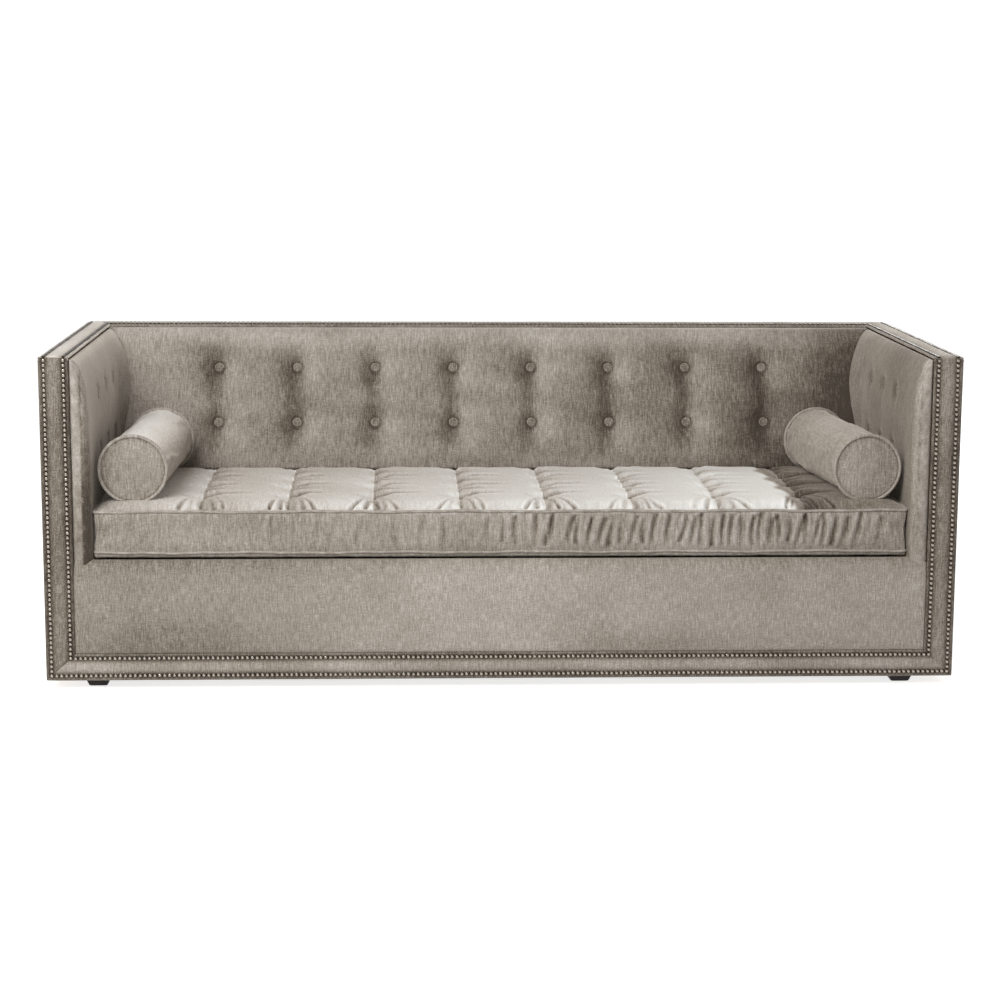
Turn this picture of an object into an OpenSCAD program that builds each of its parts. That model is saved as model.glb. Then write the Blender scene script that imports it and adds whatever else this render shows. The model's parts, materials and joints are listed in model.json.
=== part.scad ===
// Tuxedo sofa bed: upholstered shell, loose bench cushion, two bolsters
// and a two-section steel bed that unfolds over the front rail.
// Millimetres. X runs to the sitter's left, -Y is the front, +Z is up.
// The origin is on the floor under the middle of the sofa.

/* [Overall] */
// Width over both arms
overall_w = 2340; // [2240:10:2440]
// Depth from the front nail heads to the back cover
overall_d = 960; // [955:5:990]
// Height to the nail heads on the arms and back
overall_h = 860; // [850:5:920]
// Height of the feet, which is the gap under the body
foot_h = 25; // [20:1:40]
// Width of a foot at its top
foot_top_w = 66; // [50:1:90]
// Width of a foot where it meets the floor
foot_bottom_w = 46; // [30:1:60]
// Setback of the feet from the front and back faces
foot_setback = 38; // [20:1:60]
// Distance from the end of the body to the middle of a foot
foot_inset = 126; // [100:1:180]

/* [Shell] */
// Width of the flat border along the arms, the back and the front
border_w = 76; // [72:1:90]
// Height of the border under the front panel
base_band_h = 70; // [60:1:90]
// Thickness of the padded border boards and caps
board_t = 22; // [16:1:26]
// Thickness of the fabric and board of the outer covers
cover_t = 4; // [3:0.5:6]
// Height of the front panel's top, where the seat deck starts
deck_z = 337; // [335:1:342]
// Radius of the roll along the top of the front panel
panel_roll = 28; // [18:1:34]
// Thickness of the front rail
rail_t = 14; // [12:1:16]
// Thickness of the plywood panels in the arms
ply_t = 12; // [9:1:16]
// Width of the posts and rails inside the arms
post_w = 45; // [35:1:55]
// Height of the rear rail
rear_rail_h = 140; // [100:5:180]

/* [Nail trim] */
// Distance from an outer edge to the outer row of nails
nail_outer = 15; // [12:1:20]
// Distance from an outer edge to the inner row of nails
nail_inner = 64; // [55:1:68]
// Height of the nail rows over the fabric
nail_proud = 3; // [2:0.5:3.5]
// Width of a row of nail heads
nail_w = 11; // [8:0.5:13]

/* [Inner pads] */
// Thickness of an arm pad beside the seat
arm_pad_low = 46; // [38:1:47]
// Thickness of an arm pad at its top
arm_pad_top = 15; // [12:1:24]
// Radius of the rolled front edge of an arm pad
arm_pad_roll = 28; // [18:1:34]
// Distance of the back pad's top from the front of the back cap
back_pad_lean = 59; // [50:1:64]
// How far the back pad leans for each millimetre of height
back_rake = 0.40; // [0.34:0.01:0.40]
// Thickness of the back pad
back_pad_t = 52; // [40:1:56]
// Height of the back pad's bottom edge
back_pad_bottom = 465; // [463:1:470]
// Drop of the pads' tops below the caps
pad_drop = 6; // [3:1:12]
// Distance between columns of buttons, and of cushion tufts
button_pitch = 222; // [200:1:226]
// Height of the upper row of buttons
button_row_upper = 742; // [720:1:760]
// Height of the lower row of buttons
button_row_lower = 592; // [570:1:620]
// Distance between buttons along an arm
arm_button_pitch = 160; // [140:1:170]
// Distance of the middle arm button in front of the sofa's middle
arm_button_mid = 60; // [40:1:80]
// Diameter of a button
button_d = 27; // [20:1:32]
// Depth of the dimple that a button pulls into a pad
dimple = 13; // [8:1:16]

/* [Seat cushion] */
// Space between the cushion and each arm pad
cushion_side_gap = 4; // [3:0.5:8]
// Distance from the front face to the cushion's front
cushion_setback = 33; // [32:1:60]
// Space between the cushion's upper welt and the back pad
cushion_back_gap = 9.9; // [8:0.1:40]
// Height of the box band between the two welts
cushion_band = 106; // [90:1:120]
// Rise of the cushion's top above its upper welt
cushion_crown = 23; // [12:1:26]
// Height of the lower welt above the cushion's flat underside
cushion_belly = 15.5; // [10:0.5:20]
// How far the sides draw in between the corners
cushion_waist = 5; // [2:0.5:8]
// Depth of the sewn tufts
tuft_depth = 20; // [8:1:24]
// Distance between rows of tufts
tuft_row_pitch = 142; // [120:1:148]

/* [Bolsters] */
// Diameter of a bolster
bolster_d = 176; // [150:1:180]
// Length of a bolster
bolster_l = 540; // [480:5:545]
// Space between an arm pad and a bolster's front end
bolster_gap = 12; // [8:1:40]
// Inward turn of the left bolster in degrees
bolster_turn_left = 2.3; // [0:0.1:4]
// Inward turn of the right bolster in degrees
bolster_turn_right = 4.5; // [0:0.1:6]
// How much of a bolster's underside is pressed flat by the cushion
bolster_sink = 9; // [4:1:14]

/* [Bed frame] */
// Outside of the square steel tube
tube = 20; // [18:1:20]
// Wall of the square steel tube
tube_wall = 1.5; // [1:0.1:2.5]
// Space between the bed's side tubes and the side rails
side_space = 26; // [26:0.5:27]
// Length of a lifting link between its pivots
link_len = 200.5; // [200:0.5:203]
// Angle of the links below level when the bed is folded away
link_drop = 30; // [29:0.5:31]
// Height of the fixed pivots
pivot_z = 162.25; // [162:0.25:166]
// Distance of the front fixed pivots behind the front rail
front_pivot_in = 141; // [139:1:151]
// Distance of the rear pins from the end of the seat section
rear_pin_in = 56.36; // [50:0.02:70]
// Distance of the fold hinge behind the front rail
hinge_in = 96; // [95:1:98]
// Space between the front rail and the end of the seat section
hinge_setback = 14; // [13:1:17]
// Space between the end of the seat section and the rear rail
seat_tail_gap = 51; // [49:1:70]
// How far the fold section reaches in under the foot of the back pad
fold_tail_under = 12.4; // [0:0.2:13]
// Thickness of a mattress section
mattress_t = 88; // [70:1:89]
// Thickness of the deck cloth
deck_t = 1; // [0.8:0.1:1.5]
// Distance of the leg pivots from the fold section's free end
leg_setback = 43; // [40:1:50]
// Diameter of a leg tube
leg_d = 18; // [16:1:18]
// Distance of the legs from the side tubes
leg_inset = 55; // [45:1:70]

/* [Hidden] */

$fn = 48;
FABRIC = [0.60, 0.56, 0.51];
WOOD = [0.72, 0.56, 0.38];
STEEL = [0.35, 0.36, 0.38];
NICKEL = [0.62, 0.58, 0.52];
TICKING = [0.90, 0.89, 0.86];
MESH = [0.25, 0.26, 0.28];
BLACK = [0.07, 0.06, 0.06];

// Clearances
touch = 0.3;
pin_gap = 0.06;
slide_gap = 0.5;

// Faces of the body
half_w = overall_w / 2;
front_y = -overall_d / 2 + nail_proud;
back_y = overall_d / 2;
top_z = overall_h - nail_proud;
bottom_z = foot_h;
arm_in = half_w - border_w;
board_y = front_y + board_t;
cap_z = top_z - board_t;
cap_y = back_y - border_w;
cover_in_x = half_w - cover_t;
cover_in_y = back_y - cover_t;
band_z = bottom_z + base_band_h;
rail_back_y = board_y + rail_t;

// The seat well
arm_face = arm_in - arm_pad_low;
rail_face = arm_face - 2;
side_tube_out = rail_face - side_space;
pad_top = top_z - pad_drop;
function back_face(z) = cap_y - back_pad_lean - back_rake * (pad_top - z);
rear_post_y = cover_in_y - post_w;

// Buttons and tufts
button_cols = [for (k = [0 : 7]) (k - 3.5) * button_pitch];
button_rows = [button_row_lower, button_row_upper];
arm_button_cols = [for (k = [-1 : 1]) -arm_button_mid + k * arm_button_pitch];

// Seat cushion
cushion_half = arm_face - cushion_side_gap;
cushion_front = front_y + cushion_setback;
cushion_z = deck_z - touch;
lower_welt_z = cushion_z + cushion_belly;
upper_welt_z = lower_welt_z + cushion_band;
cushion_back = back_face(upper_welt_z) - cushion_back_gap;
cushion_mid_y = (cushion_front + cushion_back) / 2;
cushion_top = upper_welt_z + cushion_crown;
tuft_rows = [for (k = [0 : 3]) cushion_mid_y + 23 + (k - 1.5) * tuft_row_pitch];

// Bolsters lie on the cushion
bolster_z = cushion_top - bolster_sink + bolster_d / 2;
bolster_front = cushion_front + 45;
bolster_x = arm_face - bolster_gap - bolster_d / 2;

// Bed mechanism, folded away
rise = link_len * sin(link_drop);
run = link_len * cos(link_drop);
seat_z = pivot_z - rise;
fold_z = cushion_z - touch - tube / 2;
hinge_z = (seat_z + fold_z) / 2;
hinge_y = rail_back_y + hinge_in;
hinge_front = hinge_y + hinge_setback;
front_pivot_y = rail_back_y + front_pivot_in;
seat_tail = rear_post_y - seat_tail_gap;
fold_tail = back_face(back_pad_bottom) + fold_tail_under;
front_pin_y = front_pivot_y + run;
rear_pin_y = seat_tail - rear_pin_in;
rear_pivot_y = rear_pin_y - run;
tube_in = side_tube_out - tube;
pin_r = 6;
shaft_r = 7;
link_w = 28;
link_t = 5;
plate_t = 4;
link_out = rail_face - plate_t - 5;
link_in = link_out - link_t;
hinge_plate_t = 4;
hinge_arm_in = side_tube_out + hinge_plate_t + slide_gap;
mattress_half = tube_in - 15;
leg_y = fold_tail - leg_setback;
leg_x = tube_in - leg_inset;
leg_rail_x = tube_in - 2 * leg_inset;
open_angle = 78;
bed_z = pivot_z + link_len * sin(open_angle);
leg_reach = bed_z - 2;
leg_tip_y = leg_y - leg_reach;

// Small parts and shares used by several modules
far = 100000;
rib_t = 22;
back_ply = 9;
rib_x = [-arm_in + 25, -2 * button_pitch, 0, 2 * button_pitch, arm_in - 25];
function rib_front(z) = back_face(z) + back_pad_t + back_ply;
arm_pad_front = front_y + 2;
arm_pad_low_z = deck_z + touch;
arm_pad_bend = 600;
arm_dimple = min(dimple, 12);
button_lift = 1.5;
bolt_r = 4;
bolt_l = 30;
bolt_ys = [front_pivot_y + 60, (front_pivot_y + rear_pivot_y) / 2, rear_pivot_y - 60];
plate_h = 40;
collar_r = 9;
hinge_arm_out = hinge_arm_in + 4;
seat_bays = 4;
strap_half = 150;
strap_t = 4;
boss_r = 9.5;
tip_l = 14;
cushion_hem = 60;
welt_r = 4;

// Shared shapes

// A box between two corners
module block(lo, hi) {
    translate(lo) cube(hi - lo);
}

// A copy on the right (s = 1) or the left (s = -1) of the middle
module on_side(s) {
    mirror([s < 0 ? 1 : 0, 0, 0]) children();
}

// A prism along X from x0 to x1 over an outline of [y, z] points
module prism_x(x0, x1, outline) {
    translate([x0, 0, 0]) rotate([90, 0, 90]) linear_extrude(x1 - x0) polygon(outline);
}

// A round bar along X from x0 to x1
module bar_x(x0, x1, y, z, r) {
    translate([x0, y, z]) rotate([0, 90, 0]) cylinder(h = x1 - x0, r = r);
}

// Loop of grid places around the edge, as [column, row]
function edge_loop(nu, nv) = concat(
    [for (i = [0 : nu - 1]) [i, 0]],
    [for (j = [1 : nv - 1]) [nu - 1, j]],
    [for (i = [nu - 2 : -1 : 0]) [i, nv - 1]],
    [for (j = [nv - 2 : -1 : 1]) [0, j]]);

// A closed stuffed form: a grid of points from f(u, v, 0), rings f(u, v, 1) to
// f(u, v, rings) around its edge, and a flat underside at the last ring
module stuffed(us, vs, rings, f, flip = false) {
    nu = len(us);
    nv = len(vs);
    loop = edge_loop(nu, nv);
    n = len(loop);
    grid = [for (v = vs) for (u = us) f(u, v, 0)];
    bands = [for (k = [1 : rings]) for (e = loop) f(us[e[0]], vs[e[1]], k)];
    last = len(grid) + (rings - 1) * n;
    under = [for (k = [0 : n - 1]) bands[(rings - 1) * n + k]];
    mid = [for (k = [0 : n - 1]) 1 / n] * under;
    points = concat(grid, bands, [mid]);
    function at(e) = e[1] * nu + e[0];
    function ring(k, m) = k == 0 ? at(loop[m % n]) : len(grid) + (k - 1) * n + m % n;
    faces = concat(
        [for (j = [0 : nv - 2]) for (i = [0 : nu - 2])
            [at([i, j]), at([i, j + 1]), at([i + 1, j + 1])]],
        [for (j = [0 : nv - 2]) for (i = [0 : nu - 2])
            [at([i, j]), at([i + 1, j + 1]), at([i + 1, j])]],
        [for (k = [0 : rings - 1]) for (m = [0 : n - 1])
            [ring(k, m), ring(k, m + 1), ring(k + 1, m + 1)]],
        [for (k = [0 : rings - 1]) for (m = [0 : n - 1])
            [ring(k, m), ring(k + 1, m + 1), ring(k + 1, m)]],
        [for (m = [0 : n - 1]) [len(points) - 1, last + m, last + (m + 1) % n]]);
    turned = [for (t = faces) flip ? [t[2], t[1], t[0]] : t];
    polyhedron(points, turned);
}

// Places along one direction: two soft shoulders, and around each dimple
// some points on both sides of it and one half way to the next
function places(lo, hi, marks, near, shoulder) = concat(
    [lo, lo + shoulder * 0.3, lo + shoulder],
    around(marks, near),
    [hi - shoulder, hi - shoulder * 0.3, hi]);
function around(marks, near) = [for (k = [0 : len(marks) - 1]) each concat(
    [for (i = [len(near) - 1 : -1 : 0]) marks[k] - near[i]],
    [marks[k]],
    [for (n = near) marks[k] + n],
    k < len(marks) - 1 ? [(marks[k] + marks[k + 1]) / 2] : [])];

// How far a dimple at each crossing of two lists pulls in, from 0 to 1
function pull(a, b, list_a, list_b, flat, wide) = max([
    for (p = list_a) for (q = list_b)
        exp(-pow(max(0, norm([a - p, b - q]) - flat) / wide, 2))]);

// Fullness of a pad that falls to 0 at both ends over a soft shoulder
function full(a, lo, hi, soft) = sqrt(max(0, 1 - pow(max(0, 1 - min(a - lo, hi - a) / soft), 2)));

// Upholstered front

// One upright of the front border, cut on a mitre at its foot
module side_border() {
    translate([0, board_y, 0]) rotate([90, 0, 0]) linear_extrude(board_t)
        polygon([[arm_in, band_z], [half_w, bottom_z], [half_w, top_z], [arm_in, top_z]]);
}

// The lower border, cut on a mitre at both ends
module bottom_border() {
    translate([0, board_y, 0]) rotate([90, 0, 0]) linear_extrude(board_t)
        polygon([[-half_w, bottom_z], [half_w, bottom_z], [arm_in, band_z], [-arm_in, band_z]]);
}

// The padded front panel, with a roll along its top that laps over the rail
module front_panel_form() {
    face = front_y + 1;
    r = min(panel_roll, rail_back_y - 7 - face);
    prism_x(-arm_in + touch, arm_in - touch, concat(
        [[board_y, band_z], [face + 4, band_z], [face, band_z + 8]],
        [for (a = [180 : -15 : 90]) [face + r + r * cos(a), deck_z - r + r * sin(a)]],
        [[rail_back_y - 6, deck_z], [rail_back_y, deck_z - 6],
         [rail_back_y, deck_z - 12], [board_y, deck_z - 12]]));
}

// Timber frame

module front_rail_form() {
    block([-arm_in, board_y, bottom_z], [arm_in, rail_back_y, deck_z - 12]);
}

module rear_rail_form() {
    block([-arm_in, rear_post_y, bottom_z], [arm_in, cover_in_y, bottom_z + rear_rail_h]);
}

// One side rail, bored for the bolts of its side plate
module side_rail_form() {
    difference() {
        block([rail_face, rail_back_y, bottom_z], [arm_in, rear_post_y, deck_z]);
        for (y = bolt_ys) bar_x(rail_face - 1, rail_face + bolt_l + 1, y, pivot_z, bolt_r + pin_gap);
    }
}

module arm_panel_form() {
    block([arm_in, board_y, bottom_z], [arm_in + ply_t, cover_in_y, cap_z]);
}

module arm_post_pair() {
    block([arm_in + ply_t, board_y, bottom_z], [cover_in_x, board_y + post_w, cap_z]);
    block([arm_in + ply_t, rear_post_y, bottom_z], [cover_in_x, cover_in_y, cap_z]);
}

module arm_rail_pair() {
    block([arm_in + ply_t, board_y + post_w, bottom_z],
          [cover_in_x, rear_post_y, bottom_z + post_w]);
    block([arm_in + ply_t, board_y + post_w, cap_z - post_w],
          [cover_in_x, rear_post_y, cap_z]);
}

module back_post_set() {
    for (x = rib_x)
        block([x - post_w / 2, rear_post_y, bottom_z + rear_rail_h],
              [x + post_w / 2, cover_in_y, cap_z - post_w]);
}

module back_top_rail_form() {
    block([-arm_in, rear_post_y, cap_z - post_w], [arm_in, cover_in_y, cap_z]);
}

// Wedge boards that hold the back board at its lean
module back_rib_set() {
    low = back_pad_bottom + 1;
    for (x = rib_x)
        prism_x(x - rib_t / 2, x + rib_t / 2,
            [[rib_front(low), low], [rear_post_y, low],
             [rear_post_y, cap_z], [rib_front(cap_z), cap_z]]);
}

module back_board_form() {
    low = back_pad_bottom + 1;
    prism_x(-arm_in, arm_in,
        [[rib_front(low) - back_ply, low], [rib_front(low), low],
         [rib_front(cap_z), cap_z], [rib_front(cap_z) - back_ply, cap_z]]);
}

// Covers and caps

module arm_cover_form() {
    block([cover_in_x, board_y, bottom_z], [half_w, back_y, cap_z]);
}

module back_cover_form() {
    block([-cover_in_x, cover_in_y, bottom_z], [cover_in_x, back_y, cap_z]);
}

module arm_cap_form() {
    translate([0, 0, cap_z]) linear_extrude(board_t)
        polygon([[arm_in, board_y], [half_w, board_y], [half_w, back_y], [arm_in, cap_y]]);
}

module back_cap_form() {
    translate([0, 0, cap_z]) linear_extrude(board_t)
        polygon([[-arm_in, cap_y], [arm_in, cap_y], [half_w, back_y], [-half_w, back_y]]);
}

// Inner pads

// Thickness of an arm pad at a place on it: full at seat height, and rolled
// off at its top and front
function arm_pad_depth(y, z) =
    let (up = max(0, z - arm_pad_bend) / (pad_top - arm_pad_bend))
    (arm_pad_top + (arm_pad_low - arm_pad_top) * (1 - pow(up, 4)))
    * (0.25 + 0.75 * full(y, arm_pad_front, back_y * 3, arm_pad_roll))
    * (0.35 + 0.65 * full(z, 0, pad_top, arm_pad_top))
    - arm_dimple * pull(y, z, arm_button_cols, button_rows, button_d / 2, 30);

// One arm pad: a grid over its inner face, cut off at the lean of the back pad
module arm_pad_form() {
    rows = concat([arm_pad_low_z, 430, 520], around(button_rows, [16, 46]),
                  [pad_top - 30, pad_top - 14, pad_top - 5, pad_top]);
    cols = concat([0, 0.18, 0.5, 1] * arm_pad_roll + [1, 1, 1, 1] * arm_pad_front,
                  [arm_button_cols[0] - 150], around(arm_button_cols, [16, 46]),
                  [far]);
    last = arm_button_cols[2] + 46;
    f = function(c, z, k)
        let (rear = back_face(z) - touch, edge = min(last, rear - 3))
        let (y = c == far ? rear : min(c, edge))
        [arm_in - touch - (k == 0 ? arm_pad_depth(y, z) : 0), y, z];
    stuffed(cols, rows, 1, f, true);
}

// Thickness of the back pad at a place on it
function back_pad_depth(x, z) =
    back_pad_t * (0.45 + 0.55 * full(z, 0, pad_top, 34))
    - dimple * pull(x, z, button_cols, button_rows, button_d / 2, 34);

module back_pad_form() {
    cols = concat([-arm_in + touch], around(button_cols, [16, 46]), [arm_in - touch]);
    rows = concat([back_pad_bottom, 520], around(button_rows, [16, 46]),
                  [pad_top - 30, pad_top - 16, pad_top - 5, pad_top]);
    f = function(x, z, k)
        [x, back_face(z) + back_pad_t - touch - (k == 0 ? back_pad_depth(x, z) : 0), z];
    stuffed(cols, rows, 1, f);
}

// A covered button, domed on the side that shows
module button_form() {
    r = button_d / 2;
    rotate_extrude($fn = 32) polygon(concat(
        [[0, 0], [r * 0.9, 0], [r, 1.5]],
        [for (a = [15 : 15 : 90]) [r * cos(a), 1.5 + 6 * sin(a)]]));
}

// The back's buttons sit in their dimples, square to the lean of the pad
module back_button_set() {
    for (x = button_cols)
        for (z = button_rows) {
            y = back_face(z) + back_pad_t - touch - back_pad_depth(x, z);
            translate([x, y - button_lift, z]) rotate([90 - atan(back_rake), 0, 0]) button_form();
        }
}

module arm_button_set() {
    for (y = arm_button_cols)
        for (z = button_rows)
            translate([arm_in - touch - arm_pad_depth(y, z) - button_lift, y, z])
                rotate([0, -90, 0]) button_form();
}

// Nail rows, each a bead of touching heads

function bead(a) = [nail_w / 2 * cos(a), nail_proud * sin(a)];
bead_angles = [0 : 30 : 180];

module bead_up(x, z0, z1) {
    translate([x, front_y, z0]) linear_extrude(z1 - z0)
        polygon([for (a = bead_angles) [bead(a)[0], -bead(a)[1]]]);
}

module bead_across(half, z) {
    prism_x(-half, half, [for (a = bead_angles) [front_y - bead(a)[1], z + bead(a)[0]]]);
}

module bead_back(x, y0, y1) {
    translate([x, y1, top_z]) rotate([90, 0, 0]) linear_extrude(y1 - y0)
        polygon([for (a = bead_angles) bead(a)]);
}

module bead_along_back(half, y) {
    prism_x(-half, half, [for (a = bead_angles) [y + bead(a)[0], top_z + bead(a)[1]]]);
}

// A row this far in from the outer edges, up one arm, along the base and up the other
module front_nail_row(inset) {
    side = half_w - inset;
    low = bottom_z + inset * base_band_h / border_w;
    for (s = [-1, 1]) bead_up(s * side, low, top_z - 5);
    bead_across(side, low);
}

// Feet

module foot_form() {
    half_top = foot_top_w / 2;
    half_low = foot_bottom_w / 2;
    x = half_w - foot_inset;
    y = front_y + foot_setback + half_top;
    hull() {
        block([x - half_top, y - half_top, foot_h - 4], [x + half_top, y + half_top, foot_h]);
        block([x - half_low, y - half_low, 0], [x + half_low, y + half_low, 1]);
    }
}

// Steel mechanism

// A stadium-shaped bar from (y0, z0), turned down by the link's rest angle
module link_blank(y0) {
    translate([0, y0, pivot_z]) rotate([-link_drop, 0, 0])
        block([link_in, 0, 0.5 - link_w / 2], [link_out, link_len, link_w / 2 - 0.5]);
    bar_x(link_in, link_out, y0, pivot_z, link_w / 2);
    bar_x(link_in, link_out, y0 + run, seat_z, link_w / 2);
}

// A link with its bore at the fixed pivot and one for the pin it carries
module link_form(y0, carried_r) {
    difference() {
        link_blank(y0);
        bar_x(link_in - 1, link_out + 1, y0, pivot_z, pin_r + pin_gap);
        bar_x(link_in - 1, link_out + 1, y0 + run, seat_z, carried_r + pin_gap);
    }
}

// The plate that holds the fixed pivots to a side rail
module side_plate_form() {
    difference() {
        block([rail_face - plate_t, front_pivot_y - 30, pivot_z - plate_h / 2],
              [rail_face, rear_pivot_y + 30, pivot_z + plate_h / 2]);
        for (y = [front_pivot_y, rear_pivot_y])
            bar_x(rail_face - plate_t - 1, rail_face + 1, y, pivot_z, pin_r + pin_gap);
        for (y = bolt_ys)
            bar_x(rail_face - plate_t - 1, rail_face + 1, y, pivot_z, bolt_r + pin_gap);
    }
}

// A headed stud through the plate, with a collar that spaces the link
module fixed_pivot_form(y) {
    bar_x(link_in - slide_gap - 2, rail_face, y, pivot_z, pin_r);
    bar_x(link_in - slide_gap - 2, link_in - slide_gap, y, pivot_z, collar_r);
    bar_x(link_out + slide_gap, rail_face - plate_t, y, pivot_z, collar_r);
}

module plate_bolt_form(y) {
    bar_x(rail_face - plate_t - 2.5, rail_face - plate_t, y, pivot_z, bolt_r * 1.8);
    bar_x(rail_face - plate_t - 1, rail_face + bolt_l, y, pivot_z, bolt_r);
}

// A run of square tube along Y or X, shrunk by the wall for its inside
module tube_y(x, y0, y1, z, cut) {
    block([x + cut, y0, z - tube / 2 + cut], [x + tube - cut, y1, z + tube / 2 - cut]);
}

module tube_x(x0, x1, y, z, cut) {
    block([x0, y + cut, z - tube / 2 + cut], [x1, y + tube - cut, z + tube / 2 - cut]);
}

// The welded tubes of the seat section, or their insides when cut is the wall
module seat_section_tubes(cut) {
    over = cut > 0 ? 1 : 0;
    across = tube_in + over * (tube_wall + 1);
    for (s = [-1, 1])
        on_side(s) tube_y(tube_in, hinge_front - over, seat_tail + over, seat_z, cut);
    for (k = [0 : seat_bays])
        tube_x(-across, across, hinge_front + k * (seat_tail - tube - hinge_front) / seat_bays,
               seat_z, cut);
}

module seat_section_frame_form() {
    difference() {
        seat_section_tubes(0);
        seat_section_tubes(tube_wall);
        for (s = [-1, 1]) on_side(s) {
            bar_x(tube_in - 1, side_tube_out + 1, front_pin_y, seat_z, pin_r + pin_gap);
            bar_x(tube_in - 1, side_tube_out + 1, rear_pin_y, seat_z, shaft_r + pin_gap);
        }
    }
}

// The pin that the front link lifts: through the side tube, a collar, the link and a head
module seat_pin_form() {
    bar_x(tube_in, link_out + slide_gap + 2, front_pin_y, seat_z, pin_r);
    bar_x(side_tube_out, link_in - slide_gap, front_pin_y, seat_z, collar_r);
    bar_x(link_out + slide_gap, link_out + slide_gap + 2, front_pin_y, seat_z, collar_r);
}

// The upright plate on the seat section, with the fold's hinge pin
module hinge_plate_form() {
    y = hinge_y;
    low = seat_z - tube / 2;
    prism_x(side_tube_out, side_tube_out + hinge_plate_t,
        [[y - 12, hinge_z - 8], [y + 34, low], [y + 90, low], [y + 12, hinge_z + 12],
         [y - 12, hinge_z + 12]]);
    bar_x(side_tube_out, hinge_arm_out + slide_gap + 2, y, hinge_z, pin_r);
    bar_x(hinge_arm_out + slide_gap, hinge_arm_out + slide_gap + 2, y, hinge_z, collar_r);
}

// The arm of the fold section that turns on the hinge pin
module hinge_arm_form() {
    y = hinge_y;
    high = fold_z + tube / 2;
    difference() {
        union() {
            prism_x(hinge_arm_in, hinge_arm_out,
                [[y - 12, hinge_z - 12], [y + 12, hinge_z - 12], [y + 90, high], [y + 34, high],
                 [y - 12, hinge_z + 8]]);
            block([side_tube_out, y + 34, high - tube], [hinge_arm_in, y + 90, high]);
        }
        bar_x(hinge_arm_in - 1, hinge_arm_out + 1, y, hinge_z, pin_r + pin_gap);
    }
}

// The welded tubes of the fold section, with a bay beside each leg
module fold_section_tubes(cut) {
    over = cut > 0 ? 1 : 0;
    reach = over * (tube_wall + 1);
    across = tube_in + reach;
    bay_y = leg_tip_y - 9;
    for (s = [-1, 1]) on_side(s) {
        tube_y(tube_in, hinge_front - over, fold_tail + over, fold_z, cut);
        tube_y(leg_rail_x - tube, bay_y - reach, fold_tail - tube + reach, fold_z, cut);
    }
    for (y = [hinge_front, bay_y - tube, fold_tail - tube])
        tube_x(-across, across, y, fold_z, cut);
    tube_x(-leg_rail_x + tube - reach, leg_rail_x - tube + reach,
           (bay_y + fold_tail) / 2 - tube, fold_z, cut);
}

module fold_section_frame_form() {
    difference() {
        fold_section_tubes(0);
        fold_section_tubes(tube_wall);
        bar_x(-side_tube_out - 1, side_tube_out + 1, leg_y, fold_z, pin_r + pin_gap);
    }
}

// A deck cloth between z and z + deck_t
module deck_form(tail, z) {
    block([-side_tube_out, hinge_front, z], [side_tube_out, tail, z + deck_t]);
}

// A mattress section with clipped corners, between z and z + mattress_t
module mattress_form(tail, z) {
    y0 = hinge_front + 3;
    y1 = tail - 4;
    c = 25;
    w = mattress_half;
    translate([0, 0, z]) linear_extrude(mattress_t)
        polygon([[-w + c, y0], [w - c, y0], [w, y0 + c], [w, y1 - c],
                 [w - c, y1], [-w + c, y1], [-w, y1 - c], [-w, y0 + c]]);
}

module pull_strap_form() {
    block([-strap_half, hinge_front - strap_t, fold_z - tube / 2],
          [strap_half, hinge_front, fold_z + tube / 2 - 1]);
}

// A leg folded along the frame, with its boss on the shaft
module leg_form() {
    difference() {
        union() {
            translate([leg_x, leg_y, fold_z]) rotate([90, 0, 0])
                cylinder(h = leg_reach - tip_l, r = leg_d / 2);
            bar_x(leg_x - 14, leg_x + 14, leg_y, fold_z, boss_r);
        }
        bar_x(leg_x - 15, leg_x + 15, leg_y, fold_z, pin_r + pin_gap);
    }
}

module leg_tip_form() {
    translate([leg_x, leg_tip_y + tip_l, fold_z]) rotate([90, 0, 0])
        cylinder(h = tip_l, r = boss_r);
}

// Seat cushion

function cushion_crown_z(x, y) =
    upper_welt_z
    + cushion_crown * full(x, -cushion_half, cushion_half, 70)
        * full(y, cushion_front, cushion_back, 60)
    - tuft_depth * pull(x, y, button_cols, tuft_rows, 0, 42)
        * full(y, cushion_front, cushion_back, 40);

function cushion_top_z(x, y) = max(upper_welt_z, cushion_crown_z(x, y));

cushion_us = places(-cushion_half, cushion_half, button_cols, [26], 40);
cushion_vs = places(cushion_front, cushion_back, tuft_rows, [24], 36);

// The crown's highest place at each column of its points
cushion_highs = [for (x = cushion_us) [x, max([for (y = cushion_vs) cushion_top_z(x, y)])]];

// How near to the sofa's middle the flat under a turned bolster comes
bolster_near_x = bolster_x - bolster_l * sin(max(bolster_turn_left, bolster_turn_right))
    - sqrt(bolster_sink * (bolster_d - bolster_sink));

// Height of the flat under a bolster, just clear of the crown's highest place there
bolster_rest = touch + max(concat([lookup(bolster_near_x, cushion_highs)],
                                  [for (high = cushion_highs) if (high[0] > bolster_near_x) high[1]]));

// A point of the cushion: its top, the waist of its band, its lower welt, its underside
function cushion_point(x, y, k) =
    let (tx = x / cushion_half, ty = (y - cushion_mid_y) / (cushion_back - cushion_mid_y))
    let (draw = cushion_waist * [0.4, 1, 0.4, 0.4][k], under = k == 3 ? cushion_hem : 0)
    [x - tx * (pow(abs(tx), 6) * draw * (1 - pow(ty, 4)) + pow(abs(tx), 20) * under),
     y - ty * (pow(abs(ty), 6) * draw * (1 - pow(tx, 4)) + pow(abs(ty), 20) * under),
     [cushion_top_z(x, y), (lower_welt_z + upper_welt_z) / 2, lower_welt_z, cushion_z][k]];

module seat_cushion_form() {
    stuffed(cushion_us, cushion_vs, 3, function(x, y, k) cushion_point(x, y, k));
}

// Bolsters

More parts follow.
